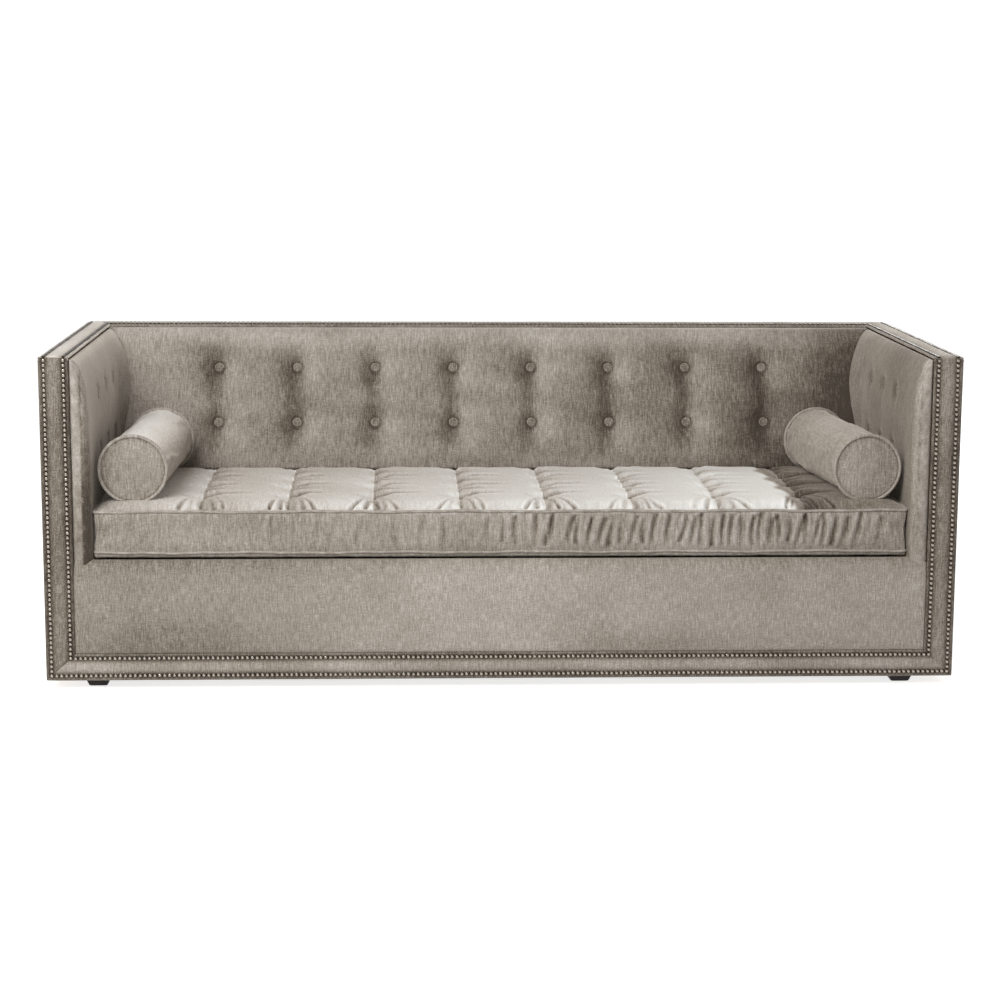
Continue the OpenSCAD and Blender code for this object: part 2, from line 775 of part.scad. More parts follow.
// A bolster along +Y from its front end, with a welt around each end and its
// underside pressed flat
module bolster_form() {
    r = bolster_d / 2;
    body = r - welt_r;
    half = [[0, -6], [body * 0.55, -5], [body * 0.88, -2], [body, 0]];
    welt = [for (a = [-60 : 30 : 90]) [body + welt_r * cos(a), welt_r + welt_r * sin(a)]];
    side = [[body + 1, 26], [r - 1, bolster_l / 2]];
    front = concat(half, welt, side);
    rear = [for (k = [len(front) - 2 : -1 : 0]) [front[k][0], bolster_l - front[k][1]]];
    difference() {
        rotate([-90, 0, 0]) rotate_extrude($fn = 72) polygon(concat(front, rear));
        block([-bolster_d, -welt_r * 4, -bolster_d],
              [bolster_d, bolster_l + welt_r * 4, bolster_rest - bolster_z]);
    }
}

// Named pieces

module left_front_border() {
    color(FABRIC) on_side(-1) side_border();
}

module right_front_border() {
    color(FABRIC) side_border();
}

module bottom_front_border() {
    color(FABRIC) bottom_border();
}

module front_panel() {
    color(FABRIC) front_panel_form();
}

module front_rail() {
    color(WOOD) front_rail_form();
}

module rear_rail() {
    color(WOOD) rear_rail_form();
}

module left_side_rail() {
    color(WOOD) on_side(-1) side_rail_form();
}

module right_side_rail() {
    color(WOOD) side_rail_form();
}

module left_arm_panel() {
    color(WOOD) on_side(-1) arm_panel_form();
}

module right_arm_panel() {
    color(WOOD) arm_panel_form();
}

module arm_posts() {
    color(WOOD) for (s = [-1, 1]) on_side(s) arm_post_pair();
}

module arm_rails() {
    color(WOOD) for (s = [-1, 1]) on_side(s) arm_rail_pair();
}

module left_arm_cover() {
    color(FABRIC) on_side(-1) arm_cover_form();
}

module right_arm_cover() {
    color(FABRIC) arm_cover_form();
}

module left_arm_cap() {
    color(FABRIC) on_side(-1) arm_cap_form();
}

module right_arm_cap() {
    color(FABRIC) arm_cap_form();
}

module back_posts() {
    color(WOOD) back_post_set();
}

module back_top_rail() {
    color(WOOD) back_top_rail_form();
}

module back_ribs() {
    color(WOOD) back_rib_set();
}

module back_board() {
    color(WOOD) back_board_form();
}

module back_cover() {
    color(FABRIC) back_cover_form();
}

module back_cap() {
    color(FABRIC) back_cap_form();
}

module left_arm_pad() {
    color(FABRIC) on_side(-1) arm_pad_form();
}

module right_arm_pad() {
    color(FABRIC) arm_pad_form();
}

module back_pad() {
    color(FABRIC) back_pad_form();
}

module back_buttons() {
    color(FABRIC) back_button_set();
}

module left_arm_buttons() {
    color(FABRIC) on_side(-1) arm_button_set();
}

module right_arm_buttons() {
    color(FABRIC) arm_button_set();
}

module front_nail_rows() {
    color(NICKEL) for (inset = [nail_outer, nail_inner]) front_nail_row(inset);
}

module arm_nail_rows() {
    color(NICKEL) for (s = [-1, 1]) on_side(s) {
        bead_back(half_w - nail_outer, front_y + 8, back_y - nail_outer - 8);
        bead_back(half_w - nail_inner, front_y + 8, back_y - nail_inner - 8);
    }
}

module back_nail_rows() {
    color(NICKEL) for (inset = [nail_outer, nail_inner])
        bead_along_back(half_w - inset, back_y - inset);
}

module front_left_foot() {
    color(BLACK) on_side(-1) foot_form();
}

module front_right_foot() {
    color(BLACK) foot_form();
}

module rear_left_foot() {
    color(BLACK) on_side(-1) mirror([0, 1, 0]) foot_form();
}

module rear_right_foot() {
    color(BLACK) mirror([0, 1, 0]) foot_form();
}

module left_side_plate() {
    color(STEEL) on_side(-1) side_plate_form();
}

module right_side_plate() {
    color(STEEL) side_plate_form();
}

module fixed_pivots() {
    color(STEEL) for (s = [-1, 1]) on_side(s)
        for (y = [front_pivot_y, rear_pivot_y]) fixed_pivot_form(y);
}

module plate_bolts() {
    color(STEEL) for (s = [-1, 1]) on_side(s) for (y = bolt_ys) plate_bolt_form(y);
}

module rear_links() {
    color(STEEL) for (s = [-1, 1]) on_side(s) link_form(rear_pivot_y, shaft_r);
}

module lift_shaft() {
    color(STEEL) bar_x(-link_out, link_out, rear_pin_y, seat_z, shaft_r);
}

module front_links() {
    color(STEEL) for (s = [-1, 1]) on_side(s) link_form(front_pivot_y, pin_r);
}

module seat_section_frame() {
    color(STEEL) seat_section_frame_form();
}

module seat_section_pins() {
    color(STEEL) for (s = [-1, 1]) on_side(s) seat_pin_form();
}

module left_hinge_plate() {
    color(STEEL) on_side(-1) hinge_plate_form();
}

module right_hinge_plate() {
    color(STEEL) hinge_plate_form();
}

module seat_section_deck() {
    color(MESH) deck_form(seat_tail, seat_z + tube / 2);
}

module seat_mattress() {
    color(TICKING) mattress_form(seat_tail, seat_z + tube / 2 + deck_t + touch);
}

module fold_section_frame() {
    color(STEEL) fold_section_frame_form();
}

module left_hinge_arm() {
    color(STEEL) on_side(-1) hinge_arm_form();
}

module right_hinge_arm() {
    color(STEEL) hinge_arm_form();
}

module fold_section_deck() {
    color(MESH) deck_form(fold_tail, fold_z - tube / 2 - deck_t);
}

module fold_mattress() {
    color(TICKING) mattress_form(fold_tail, fold_z - tube / 2 - deck_t - touch - mattress_t);
}

module pull_strap() {
    color(MESH) pull_strap_form();
}

module leg_shaft() {
    color(STEEL) bar_x(-side_tube_out, side_tube_out, leg_y, fold_z, pin_r);
}

module legs() {
    color(STEEL) for (s = [-1, 1]) on_side(s) leg_form();
}

module leg_tips() {
    color(BLACK) for (s = [-1, 1]) on_side(s) leg_tip_form();
}

module seat_cushion() {
    color(FABRIC) seat_cushion_form();
}

module left_bolster() {
    color(FABRIC) translate([-bolster_x, bolster_front, bolster_z])
        rotate([0, 0, -bolster_turn_left]) bolster_form();
}

module right_bolster() {
    color(FABRIC) translate([bolster_x, bolster_front, bolster_z])
        rotate([0, 0, bolster_turn_right]) bolster_form();
}

left_front_border();
right_front_border();
bottom_front_border();
front_panel();
front_rail();
rear_rail();
left_side_rail();
right_side_rail();
left_arm_panel();
right_arm_panel();
arm_posts();
arm_rails();
left_arm_cover();
right_arm_cover();
left_arm_cap();
right_arm_cap();
back_posts();
back_top_rail();
back_ribs();
back_board();
back_cover();
back_cap();
left_arm_pad();
right_arm_pad();
back_pad();
back_buttons();
left_arm_buttons();
right_arm_buttons();
front_nail_rows();
arm_nail_rows();
back_nail_rows();
front_left_foot();
front_right_foot();
rear_left_foot();
rear_right_foot();
left_side_plate();
right_side_plate();
fixed_pivots();
plate_bolts();
rear_links();
lift_shaft();
front_links();
seat_section_frame();
seat_section_pins();
left_hinge_plate();
right_hinge_plate();
seat_section_deck();
seat_mattress();
fold_section_frame();
left_hinge_arm();
right_hinge_arm();
fold_section_deck();
fold_mattress();
pull_strap();
leg_shaft();
legs();
leg_tips();
seat_cushion();
left_bolster();
right_bolster();
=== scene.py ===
"""The looks of the tuxedo sofa bed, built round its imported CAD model."""
import json
import math

import bpy
import numpy as np
from mathutils import Matrix, Vector


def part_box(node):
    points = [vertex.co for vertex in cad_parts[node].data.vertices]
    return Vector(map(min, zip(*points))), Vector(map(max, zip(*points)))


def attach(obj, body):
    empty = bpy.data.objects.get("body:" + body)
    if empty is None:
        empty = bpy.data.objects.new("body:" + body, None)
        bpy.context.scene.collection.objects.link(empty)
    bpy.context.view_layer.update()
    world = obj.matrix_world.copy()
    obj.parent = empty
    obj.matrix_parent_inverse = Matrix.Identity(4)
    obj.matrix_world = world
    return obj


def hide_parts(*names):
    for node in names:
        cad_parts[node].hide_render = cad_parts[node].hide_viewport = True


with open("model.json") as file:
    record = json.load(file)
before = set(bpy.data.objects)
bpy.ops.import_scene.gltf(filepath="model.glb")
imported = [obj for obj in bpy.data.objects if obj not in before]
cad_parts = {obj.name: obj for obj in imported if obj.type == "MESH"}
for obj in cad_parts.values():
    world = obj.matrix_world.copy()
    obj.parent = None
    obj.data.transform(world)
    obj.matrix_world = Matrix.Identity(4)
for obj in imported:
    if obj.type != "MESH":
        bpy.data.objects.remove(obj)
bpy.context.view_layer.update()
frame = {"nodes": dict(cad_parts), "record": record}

bl_info = {
    "name": "Tuxedo sofa bed",
    "version": (1, 0, 0),
    "blender": (4, 5, 0),
    "location": "View3D > Sidebar > Sofa bed",
    "description": "Velvet, nails, cushions and bed finishes for the sofa bed model",
    "category": "Object",
}

LEFT, RIGHT = -1, 1
SIDES = ((LEFT, "left"), (RIGHT, "right"))

# Faces of the body, read from the CAD model, in metres
HALF_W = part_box("right_arm_cover")[1].x
ARM_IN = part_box("right_arm_cap")[0].x
FRONT_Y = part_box("right_front_border")[0].y
BACK_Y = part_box("back_cover")[1].y
CAP_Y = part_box("back_top_rail")[0].y
TOP_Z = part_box("back_cap")[1].z
BOTTOM_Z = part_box("bottom_front_border")[0].z
BAND_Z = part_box("bottom_front_border")[1].z
DECK_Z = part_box("front_panel")[1].z
PAD_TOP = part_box("right_arm_pad")[1].z
PAD_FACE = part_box("right_arm_pad")[0].x
PAD_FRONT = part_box("right_arm_pad")[0].y
BORDER = HALF_W - ARM_IN
CUSHION_LOW, CUSHION_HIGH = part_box("seat_cushion")

# Radius of fabric drawn in at a seam, the distance from a row's end to its first nail, and
# the radii of the fabric that a button and a tuft hold
SEWN = 0.004
NAIL_START = 0.008
BUTTON_HOLD = 0.011
TUFT_HOLD = 0.008


def number(name, about, default, unit="LENGTH"):
    """A number that the panel shows; lengths are in metres."""
    return bpy.props.FloatProperty(name=name, description=about, default=default, unit=unit)


def colour(name, about, default):
    """A colour that the panel shows."""
    return bpy.props.FloatVectorProperty(
        name=name, description=about, default=default, size=3, subtype="COLOR")


class ShellSizes(bpy.types.PropertyGroup):
    roll: number("Edge roll", "Radius where the fabric turns over an outer edge", 0.007)
    border_crown: number("Border padding", "Height of the padding between two nail rows", 0.0055)
    seam: number("Seam depth", "How far the fabric draws in at a seam", 0.003)
    panel_roll: number("Panel roll", "Radius of the roll along the front panel's top", 0.028)
    slack: number("Slack", "Unevenness of the stretched fabric", 0.0009)


class NailSizes(bpy.types.PropertyGroup):
    outer: number("Outer row", "Distance from the edge to the outer row", 0.015)
    inner: number("Inner row", "Distance from the edge to the inner row", 0.064)
    pitch: number("Pitch", "Distance between two nails", 0.0125)
    head: number("Head", "Diameter of a nail head", 0.0120)
    proud: number("Dome", "Height of a nail head", 0.0036)


class PadSizes(bpy.types.PropertyGroup):
    button: number("Button", "Diameter of a covered button", 0.027)
    pitch: number("Button pitch", "Distance between columns of buttons", 0.222)
    lower_row: number("Lower row", "Height of the lower row of buttons", 0.592)
    upper_row: number("Upper row", "Height of the upper row of buttons", 0.742)
    arm_mid: number("Arm buttons", "Distance of the middle arm button in front of the middle", 0.060)
    arm_pitch: number("Arm button pitch", "Distance between the buttons of an arm", 0.160)
    pull: number("Button pull", "How deep a button is drawn in", 0.024)
    swell: number("Swell", "The most the padding may swell", 0.012)


class CushionSizes(bpy.types.PropertyGroup):
    upper_welt: number("Upper welt", "Height of the seat cushion's upper welt", 0.4582)
    lower_welt: number("Lower welt", "Height of the seat cushion's lower welt", 0.3522)
    welt: number("Welt", "Radius of the piped welts", 0.0036)
    row_pitch: number("Tuft pitch", "Distance between rows of tufts", 0.142)
    tuft: number("Tuft depth", "Depth of the sewn tufts", 0.020)
    swell: number("Swell", "The most the filling may swell", 0.006)
    pleat: number("Pleat depth", "Depth of the pleats beside the tufts", 0.0120)
    wrinkle: number("Wrinkle depth", "Depth of the wrinkles along the front band", 0.0095)


class BolsterSizes(bpy.types.PropertyGroup):
    diameter: number("Diameter", "Diameter of a bolster", 0.176)
    length: number("Length", "Length of a bolster", 0.540)
    spread: number("Spread", "Distance from the middle to a bolster's front end", 0.948)
    front: number("Front", "Place of the front ends", -0.399)
    height: number("Height", "Height of a bolster's middle", 0.5602)
    turn_left: number("Left turn", "Inward turn of the left bolster", math.radians(2.3), "ROTATION")
    turn_right: number("Right turn", "Inward turn of the right bolster", math.radians(4.5), "ROTATION")


class BedSizes(bpy.types.PropertyGroup):
    corner: number("Corner", "Cut of a mattress corner", 0.025)
    quilt: number("Quilting", "Distance between quilted lines", 0.110)
    quilt_depth: number("Quilt depth", "Depth of the quilted lines", 0.005)


class FinishColours(bpy.types.PropertyGroup):
    velvet: colour("Velvet", "Colour of the greige velvet", (0.343, 0.305, 0.259))
    nails: colour("Nail heads", "Colour of the antiqued nickel", (0.27, 0.232, 0.195))
    feet: colour("Feet", "Colour of the lacquered feet", (0.012, 0.010, 0.009))
    timber: colour("Timber", "Colour of the frame's softwood", (0.55, 0.37, 0.20))
    steel: colour("Bed frame", "Colour of the painted steel", (0.060, 0.064, 0.070))
    ticking: colour("Ticking", "Colour of the mattress cover", (0.46, 0.44, 0.40))


class StageLooks(bpy.types.PropertyGroup):
    sky: number("Room light", "Strength of the light from all round", 0.296, "NONE")
    key: number("Key light", "Power of the large lamp above on the left", 296.0, "POWER")
    fill: number("Fill light", "Power of the lamp behind on the right", 118.0, "POWER")
    lens: number("Lens", "Focal length on a 36 mm wide frame, in millimetres", 83.41, "NONE")


# Materials

def put_numbers(node, numbers):
    """Sets a node's inputs by name."""
    for name, value in numbers.items():
        node.inputs[name].default_value = value


def scaled(shade, factor):
    """A colour made lighter or darker, no lighter than white."""
    return tuple(min(1.0, c * factor) for c in shade)


class Shading:
    """Adds shader nodes to a material or a world."""

    def __init__(self, tree):
        self.nodes, self.link = tree.nodes, tree.links.new
        self.shader = tree.nodes.get("Principled BSDF")

    def noise(self, vector, scale, detail=3.0, roughness=0.55, distortion=0.0):
        node = self.nodes.new("ShaderNodeTexNoise")
        put_numbers(node, {"Scale": scale, "Detail": detail, "Roughness": roughness,
                           "Distortion": distortion})
        self.link(vector, node.inputs["Vector"])
        return node.outputs["Fac"]

    def mapped(self, scale=(1.0, 1.0, 1.0)):
        """Object coordinates, stretched by scale."""
        coordinates = self.nodes.new("ShaderNodeTexCoord")
        mapping = self.nodes.new("ShaderNodeMapping")
        put_numbers(mapping, {"Scale": scale})
        self.link(coordinates.outputs["Object"], mapping.inputs["Vector"])
        return mapping.outputs["Vector"]

    def stored(self, name):
        """A number that a piece keeps for each of its points."""
        node = self.nodes.new("ShaderNodeAttribute")
        node.attribute_name = name
        return node.outputs["Fac"]

    def maths(self, operation, a, b=0.0):
        """A Math node; a and b are sockets or numbers."""
        node = self.nodes.new("ShaderNodeMath")
        node.operation = operation
        for socket, value in zip(node.inputs, (a, b)):
            if isinstance(value, (int, float)):
                socket.default_value = value
            else:
                self.link(value, socket)
        return node.outputs[0]

    def plus(self, a, b):
        return self.maths("ADD", a, b)

    def minus(self, a, b):
        return self.maths("SUBTRACT", a, b)

    def times(self, a, b):
        return self.maths("MULTIPLY", a, b)

    def blended(self, *parts):
        """0.5 plus each (value, weight)'s distance from 0.5, weighted."""
        total = 0.5
        for value, weight in parts:
            total = self.plus(total, self.times(self.minus(value, 0.5), weight))
        return total

    def colours(self, factor, *stops):
        """Colours the shader by a ramp of (place, colour) stops."""
        node = self.nodes.new("ShaderNodeValToRGB")
        elements = node.color_ramp.elements
        while len(elements) < len(stops):
            elements.new(0.5)
        for element, (place, shade) in zip(elements, stops):
            element.position = place
            element.color = (*shade, 1.0)
        self.link(factor, node.inputs["Fac"])
        self.link(node.outputs["Color"], self.shader.inputs["Base Color"])

    def roughness(self, factor, at_zero, at_one):
        """Varies the shader's roughness with a factor from 0 to 1."""
        node = self.nodes.new("ShaderNodeMapRange")
        put_numbers(node, {"To Min": at_zero, "To Max": at_one})
        self.link(factor, node.inputs["Value"])
        self.link(node.outputs["Result"], self.shader.inputs["Roughness"])

    def bump(self, height, strength, distance):
        node = self.nodes.new("ShaderNodeBump")
        put_numbers(node, {"Strength": strength, "Distance": distance})
        self.link(height, node.inputs["Height"])
        self.link(node.outputs["Normal"], self.shader.inputs["Normal"])

    def seen(self):
        """1 where the camera sees a surface straight, in a mirror or through glass."""
        rays = self.nodes.new("ShaderNodeLightPath").outputs
        seen = self.maths("MAXIMUM", rays["Is Camera Ray"], rays["Is Glossy Ray"])
        return self.maths("MAXIMUM", seen, rays["Is Transmission Ray"])


def new_material(name, build, numbers):
    """A material by name; on its first use numbers go on its shader, and build adds nodes."""
    material = bpy.data.materials.get(name)
    if material is None:
        material = bpy.data.materials.new(name)
        material.use_nodes = True
        shading = Shading(material.node_tree)
        put_numbers(shading.shader, numbers)
        build(shading)
    return material


def velvet(across="x"):
    """Chenille velvet with upright threads; its width runs along X or along Y."""
    base = tuple(bpy.context.scene.finish_colours.velvet)
    warp_scale, weft_scale = (1.0, 0.12, 0.12), (0.20, 0.5, 1.0)
    if across == "y":
        warp_scale, weft_scale = (0.12, 1.0, 0.12), (0.5, 0.20, 1.0)

    def build(make):
        even = make.mapped()
        warp = make.noise(make.mapped(warp_scale), 330.0, 1.0, 0.5)
        weft = make.noise(make.mapped(weft_scale), 320.0, 1.0, 0.5)
        fleck = make.noise(even, 300.0, 1.0, 0.5)
        cloud = make.noise(even, 6.0, 3.0, 0.5, 0.4)
        spots = make.noise(even, 38.0, 2.0, 0.5, 0.3)
        threads = make.blended((warp, 0.36), (weft, 0.16), (fleck, 0.28), (cloud, 0.14), (spots, 0.04))
        # Threads stand out where the pile lies dark and melt away where it shines; the stored values
        # carry the pile's tone with painted light and shade
        pile_lie_and_light = make.stored("pile_tone_and_light")
        contrast = make.minus(1.08, make.times(pile_lie_and_light, 1.7))
        grain = make.times(make.minus(threads, 0.5), contrast)
        # Colours from darkest to lightest, picked by the pile's tone with painted light and shade; the
        # darker ones are warmer
        shades = ((0.0, 0.15, (1.11, 0.98, 0.84)), (0.25, 0.44, (1.06, 0.99, 0.92)),
                  (0.5, 1.0, (1.0, 1.0, 1.02)), (0.75, 1.9, (0.95, 1.02, 1.12)),
                  (1.0, 2.8, (0.94, 1.05, 1.20)))
        make.colours(make.plus(make.plus(grain, 0.5), pile_lie_and_light), *(
            (place, scaled([c * t for c, t in zip(base, tint)], factor))
            for place, factor, tint in shades))
        make.bump(make.blended((warp, 1.0), (weft, 0.6), (fleck, 0.6)), 0.5, 0.0016)

    return new_material("velvet_across_" + across, build, {
        "Roughness": 0.72, "Specular IOR Level": 0.25, "Sheen Weight": 0.45,
        "Sheen Roughness": 0.40, "Sheen Tint": (1.0, 0.90, 0.78, 1.0)})


def antiqued_nickel():
    """Nickel polished bright on a head's crown, dark round its rim with patina and a painted reflection
    of the dark fabric.
    """
    base = tuple(bpy.context.scene.finish_colours.nails)

    def build(make):
        even = make.mapped()
        patina = make.noise(even, 130.0, 4.0, 0.65)
        mix = make.blended((patina, 0.5), (make.stored("polish_and_rim_shade"), 1.0))
        make.colours(mix, (0.10, scaled(base, 0.06)), (0.45, scaled(base, 0.35)), (0.75, base),
                     (1.0, scaled(base, 1.5)))
        make.roughness(mix, 0.42, 0.16)
        make.bump(make.noise(even, 900.0, 2.0), 0.12, 0.0003)

    return new_material("antiqued_nickel", build, {"Metallic": 1.0})


def wood(name, base, grain):
    """Sawn wood with its grain along grain, 0 to 2 for X to Z."""
    def build(make):
        ring_scale, fibre_scale = [46.0] * 3, [520.0] * 3
        ring_scale[grain], fibre_scale[grain] = 2.2, 9.0
        ring = make.noise(make.mapped(ring_scale), 1.0, 7.0, 0.6, 1.4)
        fibre = make.noise(make.mapped(fibre_scale), 1.0, 3.0)
        mix = make.plus(make.times(ring, 0.72), make.times(fibre, 0.28))
        make.colours(mix, (0.32, scaled(base, 0.55)), (0.50, base), (0.66, scaled(base, 1.28)))
        make.bump(mix, 0.25, 0.0008)

    return new_material(name, build, {"Roughness": 0.62})


def metal(name, base, roughness, metallic):
    """Painted or bare steel with a faint orange peel and rubbed patches."""
    def build(make):
        even = make.mapped()
        rub = make.noise(even, 26.0, 5.0, 0.6)
        make.colours(rub, (0.35, scaled(base, 0.8)), (0.62, base), (0.85, scaled(base, 1.7)))
        make.roughness(rub, roughness * 0.8, roughness * 1.3)
        make.bump(make.noise(even, 700.0, 2.0), 0.08, 0.0004)

    return new_material(name, build, {"Metallic": metallic})


def woven(name, light, dark, threads, stripe=0.0):
    """A plain weave seen from above, with threads a metre and an optional stripe along Y."""
    def build(make):
        even = make.mapped()
        split = make.nodes.new("ShaderNodeSeparateXYZ")
        make.link(even, split.inputs[0])

        def wave(axis, turns):
            return make.maths("SINE", make.times(split.outputs[axis], turns))

        weave = make.times(wave("X", threads * math.pi), wave("Y", threads * math.pi))
        weave = make.plus(make.times(weave, 0.25), 0.5)
        soil = make.noise(even, 14.0, 5.0, 0.6)
        mix = make.plus(weave, make.times(make.minus(soil, 0.5), 0.5))
        if stripe:
            band = make.maths("GREATER_THAN", wave("X", 2 * math.pi / stripe), 0.86)
            mix = make.minus(mix, make.times(band, 0.45))
        make.colours(mix, (0.1, dark), (0.75, light))
        make.bump(weave, 0.3, 0.0008)

    return new_material(name, build, {"Roughness": 0.85, "Sheen Weight": 0.15})


def lacquer():
    """Black lacquer with faint brush strokes, a little greyer where it is worn."""
    base = tuple(bpy.context.scene.finish_colours.feet)

    def build(make):
        worn = make.noise(make.mapped(), 40.0, 4.0)
        make.colours(worn, (0.4, base), (0.9, scaled(base, 1.8)))
        brush = make.noise(make.mapped((300.0, 300.0, 30.0)), 1.0, 3.0)
        make.bump(brush, 0.12, 0.0004)

    return new_material("black_lacquer", build, {"Roughness": 0.5, "Specular IOR Level": 0.3})


# Meshes

def new_piece(name, points, faces, material, body, slot):
    """A smooth mesh object from points and quads, riding on a body of the model."""
    mesh = bpy.data.meshes.new(name)
    points = np.asarray(points, np.float32).reshape(-1, 3)
    faces = np.asarray(faces, np.int32)
    mesh.vertices.add(len(points))
    mesh.vertices.foreach_set("co", points.ravel())
    mesh.loops.add(faces.size)
    mesh.loops.foreach_set("vertex_index", faces.ravel())
    mesh.polygons.add(len(faces))
    mesh.polygons.foreach_set("loop_start", np.arange(0, faces.size, 4, dtype=np.int32))
    mesh.update(calc_edges=True)
    mesh.shade_smooth()
    mesh.materials.append(material)
    piece = bpy.data.objects.new(name, mesh)
    bpy.context.scene.collection.objects.link(piece)
    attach(piece, body)
    return piece


def quads(index):
    """Quads between the rows and columns of a grid of point numbers."""
    corners = (index[:-1, :-1], index[:-1, 1:], index[1:, 1:], index[1:, :-1])
    return np.stack(corners, -1).reshape(-1, 4)


def grid_faces(rows, columns, wrap=False):
    """Quads of a grid of points, numbered row by row."""
    index = np.arange(rows * columns).reshape(rows, columns)
    return quads(np.pad(index, ((0, 0), (0, int(wrap))), mode="wrap"))


def border_loop(rows, columns):
    """Numbers of the points around the edge of a grid, in order."""
    index = np.arange(rows * columns).reshape(rows, columns)
    return np.concatenate([index[0], index[1:, -1], index[-1, -2::-1], index[-2:0:-1, 0]])


def walls(loops):
    """Quads between closed loops of point numbers, from each loop to the next."""
    index = np.pad(np.array(loops), ((0, 0), (0, 1)), mode="wrap")
    return quads(index)[:, ::-1]


def read_points(piece, name):
    """The places of a piece's points, by the name co, or their normals, by normal."""
    flat = np.empty(len(piece.data.vertices) * 3, np.float32)
    piece.data.vertices.foreach_get(name, flat)
    return flat.reshape(-1, 3).astype(float)


def move_to(piece, points):
    piece.data.vertices.foreach_set("co", np.asarray(points, np.float32).ravel())
    piece.data.update()


def store(piece, name, values):
    """Keeps one number for each point of a piece, for its material."""
    layer = piece.data.attributes.new(name, "FLOAT", "POINT")
    layer.data.foreach_set("value", np.asarray(values, np.float32))


def store_pile_tone_and_light(piece, values):
    """Stores the pile's tone together with painted light and shade, from dark below 0 to light above it,
    for the velvet.
    """
    store(piece, "pile_tone_and_light", values)


def swell(piece, pinned, pressure, growth, cap):
    """Inflates a piece as cloth whose pinned points are sewn down, moving no point past cap."""
    scene, steps = bpy.context.scene, 20
    before = read_points(piece, "co")
    group = piece.vertex_groups.new(name="sewn")
    group.add(np.flatnonzero(pinned).tolist(), 1.0, "REPLACE")
    cloth = piece.modifiers.new("Cloth", "CLOTH")
    settings = cloth.settings
    settings.vertex_group_mass = group.name
    settings.quality = 4
    settings.mass = 0.25
    settings.tension_stiffness = settings.compression_stiffness = 14.0
    settings.shear_stiffness = 6.0
    settings.bending_stiffness = 0.3
    settings.use_pressure = True
    settings.uniform_pressure_force = pressure
    settings.shrink_min = -growth
    settings.effector_weights.gravity = 0.0
    cloth.collision_settings.use_collision = False
    cloth.point_cache.frame_start, cloth.point_cache.frame_end = 1, steps
    for step in range(1, steps + 1):
        scene.frame_set(step)
    evaluated = piece.evaluated_get(bpy.context.evaluated_depsgraph_get())
    flat = np.empty(before.size, np.float32)
    evaluated.data.vertices.foreach_get("co", flat)
    shift = flat.reshape(-1, 3) - before
    length = np.linalg.norm(shift, axis=1, keepdims=True)
    shift *= np.minimum(1.0, cap / np.maximum(length, 1e-9))
    piece.modifiers.remove(cloth)
    piece.vertex_groups.remove(group)
    scene.frame_set(1)
    move_to(piece, before + shift)


def refined(piece):
    """A piece's points and normals after one applied subdivision."""
    piece.modifiers.new("Subdivision", "SUBSURF").levels = 1
    graph = bpy.context.evaluated_depsgraph_get()
    mesh = bpy.data.meshes.new_from_object(piece.evaluated_get(graph))
    piece.modifiers.clear()
    old, piece.data = piece.data, mesh
    bpy.data.meshes.remove(old)
    mesh.name = piece.name
    return read_points(piece, "co"), read_points(piece, "normal")


def near(distance, width):
    """1 at no distance, fading smoothly over a width."""
    return np.exp(-(distance / width) ** 2)


def ramp(value, start, width):
    """0 up to start, rising evenly to 1 over a width; a width below 0 rises the other way."""
    return np.clip((value - start) / width, 0, 1)


def uneven(points, scale, seed):
    """Smooth unevenness from -1 to 1, from a few sums of seeded waves."""
    rng = np.random.default_rng(seed)
    total = np.zeros(len(points))
    for _ in range(9):
        direction = rng.normal(size=3)
        direction *= rng.uniform(0.6, 1.7) / scale / np.linalg.norm(direction)
        total += np.sin(points @ direction + rng.uniform(0, 6.283))
    return total / 5.0


def spaced(length, step, roll_a, roll_b):
    """Places from 0 to length, a step apart, and closer where the ends roll over."""
    arc = 1 - np.cos(np.linspace(0, math.pi / 2, 6))
    inner = np.arange(1, max(2, round((length - roll_a - roll_b) / step)))
    inner = roll_a + (length - roll_a - roll_b) * inner / (inner[-1] + 1)
    return np.concatenate([roll_a * arc, inner, length - roll_b * arc[::-1]])


def rolled(u, length, roll_a, roll_b):
    """How far a surface falls at a distance u where its two ends roll over."""
    fall = np.zeros_like(u)
    for distance, roll in ((u, roll_a), (length - u, roll_b)):
        if roll > 0:
            over = np.clip(roll - distance, 0, roll)
            fall += roll - np.sqrt(roll * roll - over * over)
    return fall


def stretched(name, node, corners, rolls, relief, across="x", step=0.0035, pile_lie_and_light=None):
    """Velvet stretched over a board of the model with corners a, b, c and d in order.

    rolls are the radii over edges ab, bc, cd and da. relief(u, v, width, height) is its
    height over the board at u along ab and v away from it, in metres, and the last function,
    with the same values, gives the pile's tone together with painted light and shade.
    """
    a, b, c, d = (np.asarray(corner, float) for corner in corners)
    normal = np.cross(b - a, d - a)
    normal /= np.linalg.norm(normal)
    width = np.linalg.norm(b - a)
    height = np.dot(d - a, np.cross(normal, (b - a) / width))
    us = spaced(width, step, rolls[3], rolls[1])
    vs = spaced(height, min(step, height / 20), rolls[0], rolls[2])
    u, v = np.meshgrid(us, vs)
    s, t = (u / width)[..., None], (v / height)[..., None]
    base = (1 - t) * ((1 - s) * a + s * b) + t * ((1 - s) * d + s * c)
    lift = relief(u, v, width, height) - rolled(v, height, rolls[0], rolls[2])
    lift = lift - rolled(u, width, rolls[3], rolls[1])
    piece = new_piece(name, base + normal * lift[..., None], grid_faces(*u.shape), velvet(across),
                      "sofa", "shell_velvet")
    if pile_lie_and_light:
        store_pile_tone_and_light(piece, pile_lie_and_light(u, v, width, height).ravel())
    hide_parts(node)
    return piece


def handed(side, corners, rolls, mitres=(False, False)):
    """Corners, rolls and mitres given for the right side, turned over for the left."""
    if side == RIGHT:
        return corners, rolls, mitres
    a, b, c, d = ((-x, y, z) for x, y, z in corners)
    return (b, a, d, c), (rolls[0], rolls[3], rolls[2], rolls[1]), mitres[::-1]


def full_turn(count):
    """Evenly spaced angles round a circle."""
    return np.linspace(0, 2 * math.pi, count, endpoint=False)


